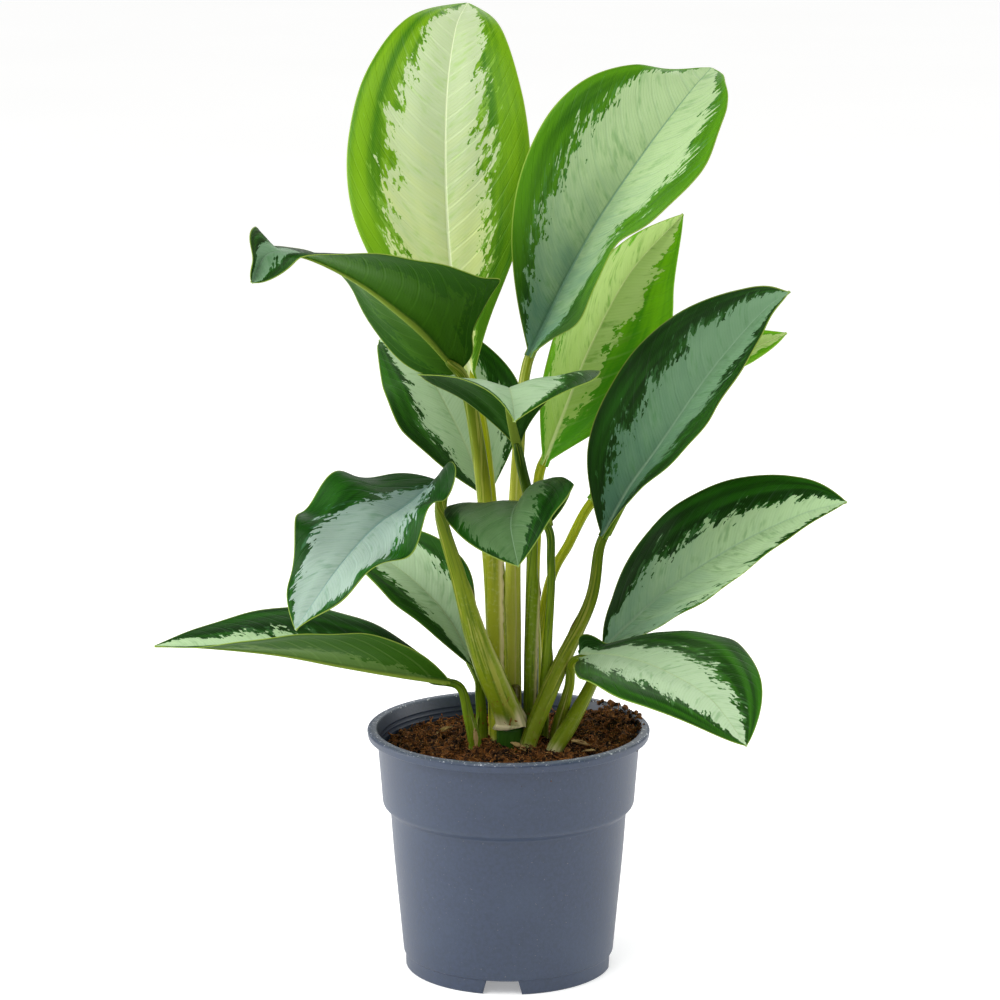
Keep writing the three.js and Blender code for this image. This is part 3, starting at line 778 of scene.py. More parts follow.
def paleField(add, at):
    # above 0 in the pale middle, whose torn edge follows the side veins
    field = add("Math SUBTRACT", at["share"], at["reach"])
    for size, stretch, detail, weight in tornEdge:
        tear = add("Math SUBTRACT", streaks(add, at, size, stretch, detail), .5)
        field = add("Math MULTIPLY_ADD", tear, weight, field)
    # small blocks of tissue are wholly pale or wholly green
    for size, stretch, weight in tissueBlocks:
        cells = add("TexVoronoi", alongVeins(add, at, size, stretch), 1).outputs["Color"]
        block = add("Math SUBTRACT", add("SeparateColor", cells), .5)
        field = add("Math MULTIPLY_ADD", block, weight, field)
    return field


def leafGreen(add, at, skin):
    # painted light and shade of the pleats in soft lengthwise bands, painted light by the margin,
    # and darker at the base
    light, dark = skin["margin"]
    grainAndPaintedLight = add("Math MULTIPLY_ADD", at["grain"], .22, at["bands"])
    # painted light towards the margin
    grainAndPaintedLight = add("Math MULTIPLY_ADD", at["reach"], skin["edgeLight"], grainAndPaintedLight)
    color = add("Mix RGBA", add("MapRange SMOOTHSTEP", grainAndPaintedLight, .55, 1.05), dark, light)
    atBase = add("MapRange SMOOTHSTEP", at["along"], .42, .1, 0, .75)
    return add("Mix RGBA", atBase, color, skin.get("marginBase", dark))


def leafSilver(add, at, skin):
    # a cast that changes to the tip, and thin places where the green tissue shows through
    patch = streaks(add, at, *leafPatterns["cast"])
    cast = add("Math MULTIPLY_ADD", at["grain"], .2, at["along"])
    cast = add("Math MULTIPLY_ADD", patch, .5, cast)
    pale = add("Mix RGBA", add("MapRange SMOOTHSTEP", cast, .3, 1.05), *skin["middle"])
    thin = streaks(add, at, *leafPatterns["thinSilver"])
    thin = add("Math MULTIPLY_ADD", thin, .7, add("Math MULTIPLY", patch, .5))
    shown = add("MapRange SMOOTHSTEP", thin, .60, .84, 0, skin["cloud"])
    return add("Mix RGBA", shown, pale, skin["splash"])


def leafUpper(add, at, skin):
    # green and silver with a few half-pale splashes, faint side veins and a pale midrib
    splash = streaks(add, at, *leafPatterns["splash"])
    splash = add("Math MULTIPLY_ADD", splash, .6, at["field"])
    faint = streaks(add, at, *leafPatterns["veinFade"])
    faint = add("Math MULTIPLY_ADD", faint, -.9, at["reach"])
    faint = add("MapRange SMOOTHSTEP", faint, .35, -.35)
    shown = add("Math MULTIPLY_ADD", at["middle"], skin["veinShow"] - .12, .12)
    veins = add("Math MULTIPLY", at["sideVeins"], add("Math MULTIPLY", faint, shown))
    return layered(
        add, leafGreen(add, at, skin),
        (add("MapRange SMOOTHSTEP", splash, .24, .27, 0, .4), skin["splash"]),
        (at["middle"], leafSilver(add, at, skin)),
        (veins, skin["sideVein"]),
        (add("Math MULTIPLY", at["fineVeins"], .08), skin["splash"]),
        (add("MapRange SMOOTHSTEP", at["rib"], .2, .7, .7, 0), skin["rib"]))


def leafUnder(add, at, skin):
    # paler and softer, with the silver showing through, painted shade of the pleats in soft bands,
    # and a raised yellow-green midrib
    return layered(
        add, skin["under"],
        (add("Math MULTIPLY", at["middle"], .6), skin["underMiddle"]),
        (add("Math MULTIPLY", at["bands"], .4), skin["margin"][1]),
        (add("Math MULTIPLY", at["sideVeins"], .25), skin["underMiddle"]),
        (add("MapRange SMOOTHSTEP", at["rib"], .75, 1, .7, 0), "#7f9330"))


def leafSkin(name, skin):
    # living leaf, a waxy cuticle over soft tissue: broad satin gloss, light a little inside
    material, tree = newMaterial(name)
    add = partial(addNode, tree)
    at = storedValues(add, leafValues)
    at["reach"] = add("Math ABSOLUTE", at["across"])
    half = add("Math SIGN", at["across"])
    at["strand"] = add("Math MULTIPLY_ADD", half, leafMarks["halfStep"], at["seed"])
    at["grain"] = streaks(add, at, *leafPatterns["grain"])
    at["field"] = paleField(add, at)
    at["middle"] = add("MapRange SMOOTHSTEP", at["field"], -.005, .008)
    across, along = leafMarks["bands"]
    pleatShadingPlace = add("Math MULTIPLY", at["reach"], across), add("Math MULTIPLY", at["along"], along)
    at["bands"] = add("TexNoise", add("CombineXYZ", *pleatShadingPlace, at["strand"]), 1, 2)
    spacing = blade["veinSpacing"]
    at["sideVeins"] = veinLines(add, at, spacing, leafMarks["sideVein"])
    at["fineVeins"] = veinLines(add, at, spacing / leafMarks["fineVeins"], leafMarks["fineVein"])
    color = add("Mix RGBA", at["under"], leafUpper(add, at, skin), leafUnder(add, at, skin))
    # a thin light line round the margin
    edgeLine = add("MapRange SMOOTHSTEP", at["edge"], *leafMarks["marginLine"], .5, 0)
    rough = add("Math MULTIPLY_ADD", at["grain"], .14, .33)
    relief = add("Math MULTIPLY", at["sideVeins"], -1.0)
    relief = add("Math MULTIPLY_ADD", at["fineVeins"], -.35, relief)
    relief = add("Math MULTIPLY_ADD", at["grain"], .5, relief)
    finishMaterial(
        tree, BaseColor=add("Mix RGBA", edgeLine, color, "#a3b94c"),
        Roughness=add("Math MULTIPLY_ADD", at["under"], .24, rough),
        IOR=1.42, SpecularIORLevel=.15,
        SubsurfaceWeight=.1, SubsurfaceRadius=(.8, 1, .5), SubsurfaceScale=.001,
        Normal=add("Bump", .55, .00025, Height=relief))
    return material


leafMaterials = {name: leafSkin(name, plainSkin | skin) for name, skin in leafSkins.items()}
for seed, (name, shape) in enumerate(leafShapes.items()):
    look = leafLooks[name]
    material = leafMaterials[look["skin"]]
    piece = bladePiece(f"leafBlade_{name}", plainLeaf | shape, look, seed, material)
    onRoot(piece, slotOf[f"blade_{name}"], f"blade_{name}")
print("leaf blades made:", len(leafShapes))


stalk = {
    "sides": 44,
    "stepLength": .0022,
    "lead": .006,            # straight stretch below the blade
    "intoBlade": .012,       # how far it runs on under the midrib
    "sheathLip": .14,        # height of the sheath's free edge, in stalk radii
    "wing": .1,              # papery margin along that edge, in stalk radii
    "groove": .22,           # along the upper side above the sheath, in stalk radii
    "twist": .14,            # turns of the sheath's edge from foot to top
    "footFlare": .2,         # widening where it clasps the cane, in stalk radii
    "footLength": .006,
    "sheathEnds": .86,       # share of the sheath's length where it starts to close
    "paperFrom": .95,        # where its papery margin starts, going round the stalk
    "lastPlace": .992,       # the free edge, just short of a whole turn
}

# sheath: the share of the stalk that is a rolled sheath; turn: where its free edge lies,
# in degrees from the front
stalkLooks = {
    "top": {"sheath": .5, "turn": 40, "skin": "yellowStalk"},
    "top_right": {"sheath": .62, "turn": 60, "skin": "creamStalk"},
    "upper_left": {"sheath": .6, "turn": 62, "skin": "paleStalk", "wing": .75},
    "young": {"sheath": .5, "turn": 10, "skin": "yellowStalk"},
    "right_upper": {"sheath": .66, "turn": -48, "skin": "mottledStalk", "wing": .14},
    "right_middle": {"sheath": .8, "turn": -40, "skin": "mottledStalk", "wing": .2},
    "right_lower": {"sheath": .6, "turn": 30, "skin": "mottledStalk"},
    "left_lowest": {"sheath": .5, "turn": 60, "skin": "greenStalk"},
    "left_drooping": {"sheath": .6, "turn": 105, "skin": "mottledStalk", "footSlope": .22},
    "left_behind": {"sheath": .4, "turn": 0, "skin": "greenStalk"},
    "front_upper": {"sheath": .6, "turn": 72, "skin": "greenStalk", "wing": .5},
    "front_lower": {"sheath": .45, "turn": 100, "skin": "greenStalk"},
    "back_left": {"sheath": .5, "turn": 0, "skin": "paleStalk"},
    "back_right": {"sheath": .5, "turn": 30, "skin": "yellowStalk"},
}

# colours of the foot, the middle and the top, then of the darker and the lighter streaks
stalkSkins = {
    "paleStalk": ("#c9bd8c", "#8c9420", "#4c6302", "#4c6a06", "#b7b452"),
    # paleStalk made lighter for a stalk that sits in light: painted light
    "creamStalk": ("#d2c795", "#a6ab3a", "#6c7c10", "#70841c", "#cbc874"),
    "yellowStalk": ("#c6bc78", "#9aa214", "#8c9608", "#5e7c04", "#c0c048"),
    "mottledStalk": ("#cfc49a", "#6f7f12", "#4f6604", "#345504", "#a9a648"),
    "greenStalk": ("#9ea548", "#637b0a", "#34540a", "#1c3c04", "#93a336"),
}


def streakSeed(name):
    # a steady number for each name, so that no two stalks are streaked alike
    return sum(ord(letter) for letter in name) % 37 * 1.7


def stalkLine(shape):
    # the stalk's middle line from its foot on under the midrib, its sections and radii
    centre, way, bladeUp = [row[0] for row in bladeFrames(shape, np.array([0.0]))[:3]]
    base = centre - bladeUp * shape["stalkRadii"][-1] * .8
    onward = [base - way * stalk["lead"], base + way * stalk["intoBlade"]]
    path = smoothPath(shape["stalk"] + [tuple(p) for p in onward])
    length = path[1][-1]
    u = np.linspace(0, 1, int(length / stalk["stepLength"]) + 1)
    radii = np.array(shape["stalkRadii"])
    own = 1 - stalk["intoBlade"] / length
    radius = np.interp(u / own, np.linspace(0, 1, len(radii)), radii)
    return path, u, radius * (.4 + .6 * np.clip((1 - u) / (1 - own), 0, 1) ** .5), bladeUp


def sheathForm(look, wing, seed, u, metres, rise):
    # where the sheath is, its dry papery corner, and the section's radius in stalk radii
    end, closing = look["sheath"], stalk["sheathEnds"]
    sheath = (1 - np.clip((u - end * closing) / (end * (1 - closing)), 0, 1))[:, None]
    flare = np.exp(-((u - end * (closing + .01)) / .03) ** 2)[:, None]
    ragged = .72 + .16 * np.sin(metres * 610 + seed) * np.sin(metres * 233)
    ragged = ragged + .12 * np.sin(metres * 1490 + seed) * np.sin(metres * 410)
    paper = stalk["lastPlace"] - stalk["paperFrom"]
    papery = np.clip((rise - stalk["paperFrom"]) / paper, 0, 1) ** 2 * ragged
    nearEdge = np.minimum(rise, 1 - rise) * 2 * np.pi
    profile = 1 + stalk["sheathLip"] * (sheath + 1.6 * flare) * (rise - .55)
    profile = profile + wing * papery * sheath
    profile = profile - stalk["groove"] * (1 - sheath) * np.exp(-(nearEdge / .5) ** 2)
    return sheath, flare * papery, profile


def stalkPiece(name, shape, look, material):
    path, u, radius, bladeUp = stalkLine(shape)
    centre, along = pathAt(path, u)
    metres = (u * path[1][-1])[:, None]
    outward = math.radians(look["turn"])
    first = np.array([math.sin(outward), -math.cos(outward), 0])
    facing = first + (bladeUp - first) * np.clip((u - .35) / .6, 0, 1)[:, None]
    across = unit(facing - (facing * along).sum(-1, keepdims=True) * along)
    other = np.cross(along, across)
    # places round the stalk, from the sheath's free edge at 0 to the same edge at 1
    rise = np.append(np.arange(stalk["sides"]) / stalk["sides"], stalk["lastPlace"])[None, :]
    seed = streakSeed(name)
    wing = look.get("wing", stalk["wing"])
    sheath, dry, profile = sheathForm(look, wing, seed, u, metres, rise)
    foot = np.exp(-metres / stalk["footLength"])
    ring = radius[:, None] * (profile + stalk["footFlare"] * foot)
    turn = 2 * np.pi * (rise - stalk["twist"] * (1 - u)[:, None])
    points = centre[:, None] + across[:, None] * (ring * np.cos(turn))[..., None]
    points = points + other[:, None] * (ring * np.sin(turn))[..., None]
    points[..., 2] += look.get("footSlope", 0) * foot * (points[..., 0] - centre[:, None, 0])
    piece = meshObject(name, points.reshape(-1, 3), tubeFaces(*ring.shape), material)

    def spread(values):
        return np.broadcast_to(values, ring.shape).ravel()

    storeVectors(piece, "stalkPlace", spread(u[:, None]), spread(rise), spread(metres))
    share = min(1, .3 + wing)
    storeVectors(piece, "sheathPlace", spread(sheath * share), spread(dry), np.array(seed))
    return piece


# what is stored on a stalk's points: u runs from 0 at the foot to 1, rise goes round it
stalkValues = {
    "stalkPlace": ("u", "rise", "metres"),
    "sheathPlace": ("sheath", "dry", "seed"),
}


def stalkSkin(name, foot, middle, top, dark, light):
    # fleshy leaf stalk: smooth moist skin with long green streaks, paler at the foot
    material, tree = newMaterial(name)
    add = partial(addNode, tree)
    at = storedValues(add, stalkValues)
    place = add("TexCoord").outputs["Object"]
    # streaks about a millimetre wide and a few centimetres long
    girth = add("Math MULTIPLY", at["rise"], 34)
    drawnOut = add("CombineXYZ", girth, add("Math MULTIPLY", at["metres"], 45), at["seed"])
    long = add("TexNoise", drawnOut, 1, 3)
    broad = add("TexNoise", drawnOut, .34, 2)
    height = add("Math MULTIPLY_ADD", broad, .012, at["metres"])
    darker = add("Math MULTIPLY_ADD", long, .6, broad)
    lighter = add("Math MULTIPLY_ADD", long, -.6, broad)
    # mottles of about 2 mm and a pale lip on the sheath, which has dried brown at its corner
    mottle = add("MapRange SMOOTHSTEP", add("TexNoise", place, 420, 2, .6), .5, .72, 0, .16)
    lip = add("MapRange SMOOTHSTEP", at["rise"], .945, .985, 0, .7)
    # brown marks of about 4 mm by the soil
    marks = add("MapRange SMOOTHSTEP", add("TexNoise", place, 260, 2, .6), .63, .69)
    low = add("MapRange SMOOTHSTEP", at["metres"], .012, .05, 1, 0)
    color = layered(
        add, foot,
        (add("MapRange SMOOTHSTEP", height, .012, .023), middle),
        (add("MapRange SMOOTHSTEP", at["u"], .55, .95), top),
        (add("MapRange SMOOTHSTEP", darker, .70, .98, 0, .6), dark),
        (add("MapRange SMOOTHSTEP", lighter, .24, .42, 0, .5), light),
        (add("Math MULTIPLY", mottle, at["sheath"]), "#c9c98a"),
        (add("Math MULTIPLY", lip, at["sheath"]), "#c8b98a"),
        (add("MapRange SMOOTHSTEP", at["dry"], .25, .6), "#4a2c14"),
        (add("Math MULTIPLY", marks, low), "#74481f"))
    relief = add("Math MULTIPLY_ADD", broad, 1.4, long)
    finishMaterial(
        tree, BaseColor=color, Roughness=add("Math MULTIPLY_ADD", long, .16, .34),
        IOR=1.42, SpecularIORLevel=.15,
        SubsurfaceWeight=.08, SubsurfaceRadius=(.9, 1, .4), SubsurfaceScale=.0015,
        Normal=add("Bump", .45, .0003, Height=relief))
    return material


stalkMaterials = {name: stalkSkin(name, *colors) for name, colors in stalkSkins.items()}
for name, shape in leafShapes.items():
    look = stalkLooks[name]
    piece = stalkPiece(f"leafStalk_{name}", shape, look, stalkMaterials[look["skin"]])
    onRoot(piece, slotOf[f"stalk_{name}"], f"stalk_{name}")
print("stalks made:", len(leafShapes))


canes = {
    "cane_main": {
        "place": (.001, -.008), "radius": .0083, "foot": .122, "top": .1505,
        "rings": (.1335,),
        "skin": ("#86923a", "#23480f", "#356218"),
    },
    "cane_second": {
        "place": (.0043, .005), "radius": .0028, "foot": .126, "top": .172,
        "rings": (.14, .152, .165),
        "skin": ("#86923a", "#4b4a1a", "#6d6428"),
    },
}

paleFoot = (.134, .140)    # heights between which the bark turns green


def caneSkin(name, foot, bark, streak):
    # green woody cane: glossy bark with fine upright cracks of 1.4 mm, paler by the soil
    material, tree = newMaterial(name)
    add = partial(addNode, tree)
    place = add("TexCoord").outputs["Object"]
    fine = add("TexNoise", add("Mapping", place, Scale=(1, 1, .2)), 700, 3)
    height = add("SeparateXYZ", place).outputs["Z"]
    color = layered(
        add, foot,
        (add("MapRange SMOOTHSTEP", height, *paleFoot), bark),
        (add("Math MULTIPLY", fine, .7), streak))
    finishMaterial(
        tree, BaseColor=color, Roughness=.24, Normal=add("Bump", .5, .0003, Height=fine))
    return material


def canePiece(name, cane, material):
    z = np.linspace(cane["foot"], cane["top"], 60)
    swell = sum(np.exp(-((z - ring) / .0007) ** 2) for ring in cane["rings"])
    crown = np.clip((cane["top"] - z) / .0012, 0, 1) ** .5
    radius = cane["radius"] * (1 + .07 * swell) * (.75 + .25 * crown)
    theta = np.linspace(0, 2 * np.pi, 48, endpoint=False)
    x = cane["place"][0] + radius[:, None] * np.cos(theta)
    y = cane["place"][1] + radius[:, None] * np.sin(theta)
    points = np.stack([x, y, np.broadcast_to(z[:, None], x.shape)], -1)
    return meshObject(name, points.reshape(-1, 3), tubeFaces(*x.shape), material)


for name, cane in canes.items():
    piece = canePiece(name + "_bark", cane, caneSkin(name + "_skin", *cane["skin"]))
    onRoot(piece, slotOf[name], name)
print("canes made")


pot = {
    "height": .148,
    "rimRadius": .085,
    "rimHeight": .005,
    "rimInnerRadius": .0796,
    "collarTopRadius": .079,
    "collarFootRadius": .076,
    "collarFootHeight": .107,
    "shoulderHeight": .098,
    "shoulderRise": .005,
    "bodyTopRadius": .0712,
    "bodyMiddleRadius": .0693,
    "bodyMiddleHeight": .070,
    "bodyFootRadius": .0636,
    "footRadius": .0625,
    "footHeight": .009,
    "footRingWidth": .0035,
    "wall": .0016,
    "floor": .002,
    "bossRadius": .018,
    "ridges": (.1355, .1385, .1415),   # fine rings inside, above the soil
    "ridgeDepth": .0003,
    "ridgeHalfWidth": .0008,
    "notchOvershoot": .001,            # how far a notch's cutter reaches below the foot
    "notchFlatness": .45,              # its depth through the ring to its width
    "drainSides": 28,
}

# the named inputs of the pot's tree; turns in degrees
potSizes = {
    "segments": 192, "turnRadius": .05,
    "notches": 4, "notchTurn": -3.4, "notchTopWidth": .019, "notchFootWidth": .024,
    "drains": 8, "drainRadius": .004, "drainRing": .046, "drainTurn": 22.5,
}


def roundedLine(corners, steps=5):
    # a line through corners given as (radius, height, rounding)
    line = []
    last = len(corners) - 1
    for place, (r, z, rounding) in enumerate(corners):
        here = np.array([r, z])
        if rounding == 0 or place in (0, last):
            line.append(here)
            continue
        before = np.array(corners[place - 1][:2]) - here
        after = np.array(corners[place + 1][:2]) - here
        reach = min(rounding, np.linalg.norm(before) * .5, np.linalg.norm(after) * .5)
        a = here + before / np.linalg.norm(before) * reach
        b = here + after / np.linalg.norm(after) * reach
        for t in np.linspace(0, 1, steps + 1):
            line.append(a * (1 - t) ** 2 + 2 * here * t * (1 - t) + b * t ** 2)
    return np.array(line)


def potProfile():
    # the wall's outline from the axis out, up, over the rim and back: radius, height, rounding
    p = pot
    wall = p["wall"]
    rimFoot = p["height"] - p["rimHeight"]
    floorTop = p["footHeight"] + p["floor"]
    shoulderTop = p["shoulderHeight"] + p["shoulderRise"]
    outside = [
        (0, 0, 0),
        (p["bossRadius"], 0, .001),
        (p["bossRadius"] + .001, p["footHeight"], .0015),
        (p["footRadius"] - p["footRingWidth"] - .0005, p["footHeight"], .0015),
        (p["footRadius"] - p["footRingWidth"], 0, .0006),
        (p["footRadius"], 0, .0012),
        (p["footRadius"] + .0001, p["footHeight"] - .0003, .0003),
        (p["bodyFootRadius"], p["footHeight"] + .0004, .0004),
        (p["bodyMiddleRadius"], p["bodyMiddleHeight"], .012),
        (p["bodyTopRadius"], p["shoulderHeight"] - .0005, .001),
        (p["collarFootRadius"] - .0002, shoulderTop - .0015, .0022),
        (p["collarFootRadius"] + .0006, p["collarFootHeight"] + .006, .004),
        (p["collarTopRadius"], rimFoot - .0007, .0007),
        (p["rimRadius"] - .0006, rimFoot - .0004, .0009),
        (p["rimRadius"], p["height"] - .0012, .0014),
        (p["rimRadius"] - .0014, p["height"], .001),
    ]
    inside = [
        (p["rimInnerRadius"], p["height"], .0008),
        (p["rimInnerRadius"] - .001, p["height"] - .0016, .0006),
    ]
    slope = (p["collarTopRadius"] - p["collarFootRadius"]) / (rimFoot - p["collarFootHeight"])
    for ridge in sorted(p["ridges"], reverse=True):
        radius = p["collarTopRadius"] - wall - (rimFoot - ridge) * slope
        inside += [
            (radius, ridge + p["ridgeHalfWidth"], .0003),
            (radius - p["ridgeDepth"], ridge, .0003),
            (radius, ridge - p["ridgeHalfWidth"], .0003),
        ]
    inside += [
        (p["collarFootRadius"] - wall, p["collarFootHeight"], .002),
        (p["bodyTopRadius"] - wall, p["shoulderHeight"], .002),
        (p["bodyMiddleRadius"] - wall, p["bodyMiddleHeight"], .01),
        (p["bodyFootRadius"] - wall, floorTop, .002),
        (p["bossRadius"] - wall + .001, floorTop, .001),
        (p["bossRadius"] - wall, p["floor"], .001),
        (0, p["floor"], 0),
    ]
    return roundedLine(outside + inside)


def profileChain(name, line):
    # the outline as a chain of edges: radius and height, from the axis back to the axis
    mesh = bpy.data.meshes.new(name)
    edges = [(i, i + 1) for i in range(len(line) - 1)]
    mesh.from_pydata([(r, z, 0) for r, z in line], edges, [])
    piece = bpy.data.objects.new(name, mesh)
    bpy.context.scene.collection.objects.link(piece)
    return piece


def potPlastic():
    # injection-moulded polypropylene, dull satin: soft wide highlights over a skin that is very
    # finely mottled, with a painted highlight along the top of the rim, a little soil dust and worn
    # flecks on the rim
    material, tree = newMaterial("mouldedPolypropylene")
    add = partial(addNode, tree)
    place = add("TexCoord").outputs["Object"]
    height = add("SeparateXYZ", place).outputs["Z"]
    top = pot["height"]
    clouds = add("TexNoise", place, 26, 3)             # about 40 mm
    blotches = add("TexNoise", place, 420, 3, .6)      # about 2 mm
    flecks = add("TexNoise", place, 620, 3, .7)        # about 1.6 mm
    dust = add("TexNoise", place, 700, 2, .7)          # about 1.4 mm
    pores = add("TexNoise", place, 1500, 2, .6)        # about .6 mm
    # a painted highlight along the top edge of the rim
    rimHighlight = add("MapRange SMOOTHSTEP", height, top - .0012, top - .0003)
    worn = add("MapRange SMOOTHSTEP", height, top - .0014, top - .0006, 0, .8)
    fleck = add("MapRange SMOOTHSTEP", flecks, .60, .64)
    color = layered(
        add, "#293548",
        (add("MapRange SMOOTHSTEP", blotches, .3, .7), "#2f3b52"),
        (add("MapRange SMOOTHSTEP", clouds, .45, .7, 0, .3), "#354358"),
        (add("MapRange SMOOTHSTEP", dust, .68, .76, 0, .35), "#8a8378"),
        (add("Math MULTIPLY", rimHighlight, add("Math MULTIPLY_ADD", blotches, .4, .1)), "#7d8694"),
        (add("Math MULTIPLY", worn, fleck), "#d8dce2"))
    relief = add("Math MULTIPLY_ADD", pores, .5, blotches)
    finishMaterial(
        tree, BaseColor=color,
        Roughness=add("Math MULTIPLY_ADD", blotches, .16, .36),
        IOR=1.49, Normal=add("Bump", .35, .0002, Height=relief))
    return material


def newGeometryTree(name, sizes):
    # a tree that takes a geometry and named sizes
    tree = bpy.data.node_groups.new(name, "GeometryNodeTree")
    tree.interface.new_socket("Geometry", in_out="INPUT", socket_type="NodeSocketGeometry")
    tree.interface.new_socket("Geometry", in_out="OUTPUT", socket_type="NodeSocketGeometry")
    for label, value in sizes.items():
        kind = "NodeSocketInt" if isinstance(value, int) else "NodeSocketFloat"
        socket = tree.interface.new_socket(label, in_out="INPUT", socket_type=kind)
        socket.default_value = value
    return tree, addNode(tree, "NodeGroupInput").outputs


def finishTree(tree, geometry, material):
    # instances made real, finish given, result out
    real = addNode(tree, "GeometryNodeRealizeInstances", geometry)
    finished = addNode(tree, "GeometryNodeSetMaterial", real, Material=material)
    addNode(tree, "NodeGroupOutput", finished)
    return tree


def bakeTree(piece, tree, sizes):
    # runs the tree on the piece and keeps the result as a plain mesh
    modifier = piece.modifiers.new("tree", "NODES")
    modifier.node_group = tree
    for item in tree.interface.items_tree:
        if item.item_type == "SOCKET" and item.in_out == "INPUT" and item.name in sizes:
            modifier[item.identifier] = sizes[item.name]
    evaluated = piece.evaluated_get(bpy.context.evaluated_depsgraph_get())
    mesh = bpy.data.meshes.new_from_object(evaluated)
    piece.modifiers.remove(modifier)
    piece.data = mesh
    return piece


def turnedBody(add, size):
    # the outline swept round a circle, which turns it about the axis, and closed at the axis
    offset = add("CombineXYZ", add("Math MULTIPLY", size["turnRadius"], -1), 0, 0)
    upright = add("GeometryNodeTransform", size["Geometry"], offset, (0, 0, 0), (1, -1, 1))
    outline = add("GeometryNodeMeshToCurve", upright)
    circle = add("GeometryNodeCurvePrimitiveCircle", size["segments"], size["turnRadius"])
    swept = add("GeometryNodeCurveToMesh", circle, outline)
    closed = add("GeometryNodeMergeByDistance", swept, Distance=1e-6)
    return add("GeometryNodeSetShadeSmooth", closed)


def roundTheAxis(add, count, radius, cutter, turn, height=0):
    # copies of a cutter on a ring, each turned outward
    ring = add("GeometryNodeMeshCircle", count, radius)
    place = add("GeometryNodeInputPosition")
    outward = add("FunctionNodeAlignRotationToVector", None, 1, place, axis="X")
    copies = add("GeometryNodeInstanceOnPoints", ring, True, cutter, False, 0, outward)
    rotation = add("CombineXYZ", 0, 0, add("Math RADIANS", turn))
    return add("GeometryNodeTransform", copies, (0, 0, height), rotation)


def notchCutter(add, size):
    # a four-sided cone is a wedge whose sides lean in to the top
    tall = pot["footHeight"] - .0005 + pot["notchOvershoot"]
    corner = add("Math MULTIPLY", size["notchTopWidth"], .5 ** .5)
    footCorner = add("Math MULTIPLY", size["notchFootWidth"], .5 ** .5)
    wedge = add("GeometryNodeMeshCone", 4, 1, 1, corner, footCorner, tall)
    square = add("GeometryNodeTransform", wedge, (0, 0, 0), (0, 0, np.pi / 4))
    flat = (pot["notchFlatness"], 1, 1)
    return add("GeometryNodeTransform", square, (0, 0, -pot["notchOvershoot"]), (0, 0, 0), flat)


def potTree(material):
    # the turned body, then notches through the foot ring and drainage holes through the floor
    tree, size = newGeometryTree("nurseryPot", potSizes)
    add = partial(addNode, tree)
    notchRing = pot["footRadius"] - pot["footRingWidth"] / 2
    notches = roundTheAxis(
        add, size["notches"], notchRing, notchCutter(add, size), size["notchTurn"])
    bore = add(
        "GeometryNodeMeshCylinder", pot["drainSides"], 1, 1, size["drainRadius"], pot["floor"] * 4)
    drains = roundTheAxis(
        add, size["drains"], size["drainRing"], bore, size["drainTurn"],
        pot["footHeight"] + pot["floor"])
    cutters = add("GeometryNodeJoinGeometry", notches)
    feed(tree, cutters.inputs[0], drains)
    cut = add("GeometryNodeMeshBoolean", operation="DIFFERENCE", solver="EXACT")
    feed(tree, cut.inputs[0], turnedBody(add, size))
    feed(tree, cut.inputs[1], add("GeometryNodeRealizeInstances", cutters))
    return finishTree(tree, cut, material)


plastic = potPlastic()
potBody = bakeTree(profileChain("nurseryPot", potProfile()), potTree(plastic), potSizes)
onRoot(potBody, slotOf["pot"], "pot")
print("pot made:", len(potBody.data.polygons), "faces")


# the soil fills the pot down to its floor; below the surface it has plain sides
soil = {
    "sides": [(.0745, .112), (.0686, .099), (.0674, .070), (.0618, .013), (.060, .0115)],
    "edgeHeight": .133,
    "centreHeight": .1385,
    "edgeRadius": .0758,
    "rings": 120,
    "segments": 300,
    "heaps": .0042,          # height of the lumps
    "grit": .0017,
    "bank": .0135,           # soil banked up to the rim at the right back
    "bankTurn": 22,          # its direction, in degrees from the right
    "bankSpread": 36,
    "crumbReach": .0752,     # radius that crumbs lie within, and how much further on the bank
    "crumbSpill": .115,
    "fibreReach": .0735,
    "fibreSpill": .03,
    "seed": 4,
}

soilCrumbs = {
    "density": 170000.0,     # crumbs in a square metre
    "smallest": .0005,
    "largest": .0028,
    "ruggedness": .0011,     # how far their faces are pushed about
    "seed": 3,
}

soilFibres = {
    "density": 85000.0,
    "length": .012,
    "thickness": .00032,
    "shortest": .25,         # in shares of the length
    "curl": .0075,
    "seed": 8,
}


def bankAt(x, y):
    # 1 in the middle of the bank, 0 far from it
    off = (math.degrees(math.atan2(y, x)) - soil["bankTurn"]) / soil["bankSpread"]
    return math.exp(-off ** 2)


def soilHeight(x, y):
    r = math.hypot(x, y) / soil["edgeRadius"]
    base = soil["edgeHeight"] + (soil["centreHeight"] - soil["edgeHeight"]) * (1 - min(r, 1) ** 2)
    seed = soil["seed"]
    lumps = noise.fractal(Vector((x * 90, y * 90, seed)), 1, 2, 3)
    grit = noise.fractal(Vector((x * 420, y * 420, seed + 5)), .7, 2, 3)
    edge = 1 - min(max((r - .9) / .1, 0), 1) * .6
    rise = min(max((r - .5) / .48, 0), 1)
    bank = soil["bank"] * bankAt(x, y) * rise ** 2 * (3 - 2 * rise)
    return base + bank + soil["heaps"] * lumps * edge + soil["grit"] * grit


def soilSkin(name, dark, light, fibre):
    # peat and coir: dry matt crumbs with dark patches, partly the peat's own colour and partly
    # painted shade of the hollows, and red-brown fibres
    material, tree = newMaterial(name)
    add = partial(addNode, tree)
    place = add("TexCoord").outputs["Object"]
    lumps = add("TexNoise", place, 190, 4, .7)    # about 5 mm
    grit = add("TexNoise", place, 620, 3, .7)     # about 1.6 mm
    # the dark ground is partly painted shade of the hollows
    color = layered(
        add, dark,
        (add("MapRange SMOOTHSTEP", lumps, .42, .60), light),
        (add("MapRange SMOOTHSTEP", grit, .56, .70), fibre))
    finishMaterial(
        tree, BaseColor=color, Roughness=.93, SpecularIORLevel=.25,
        Normal=add("Bump", .8, .0006, Height=grit))
    return material


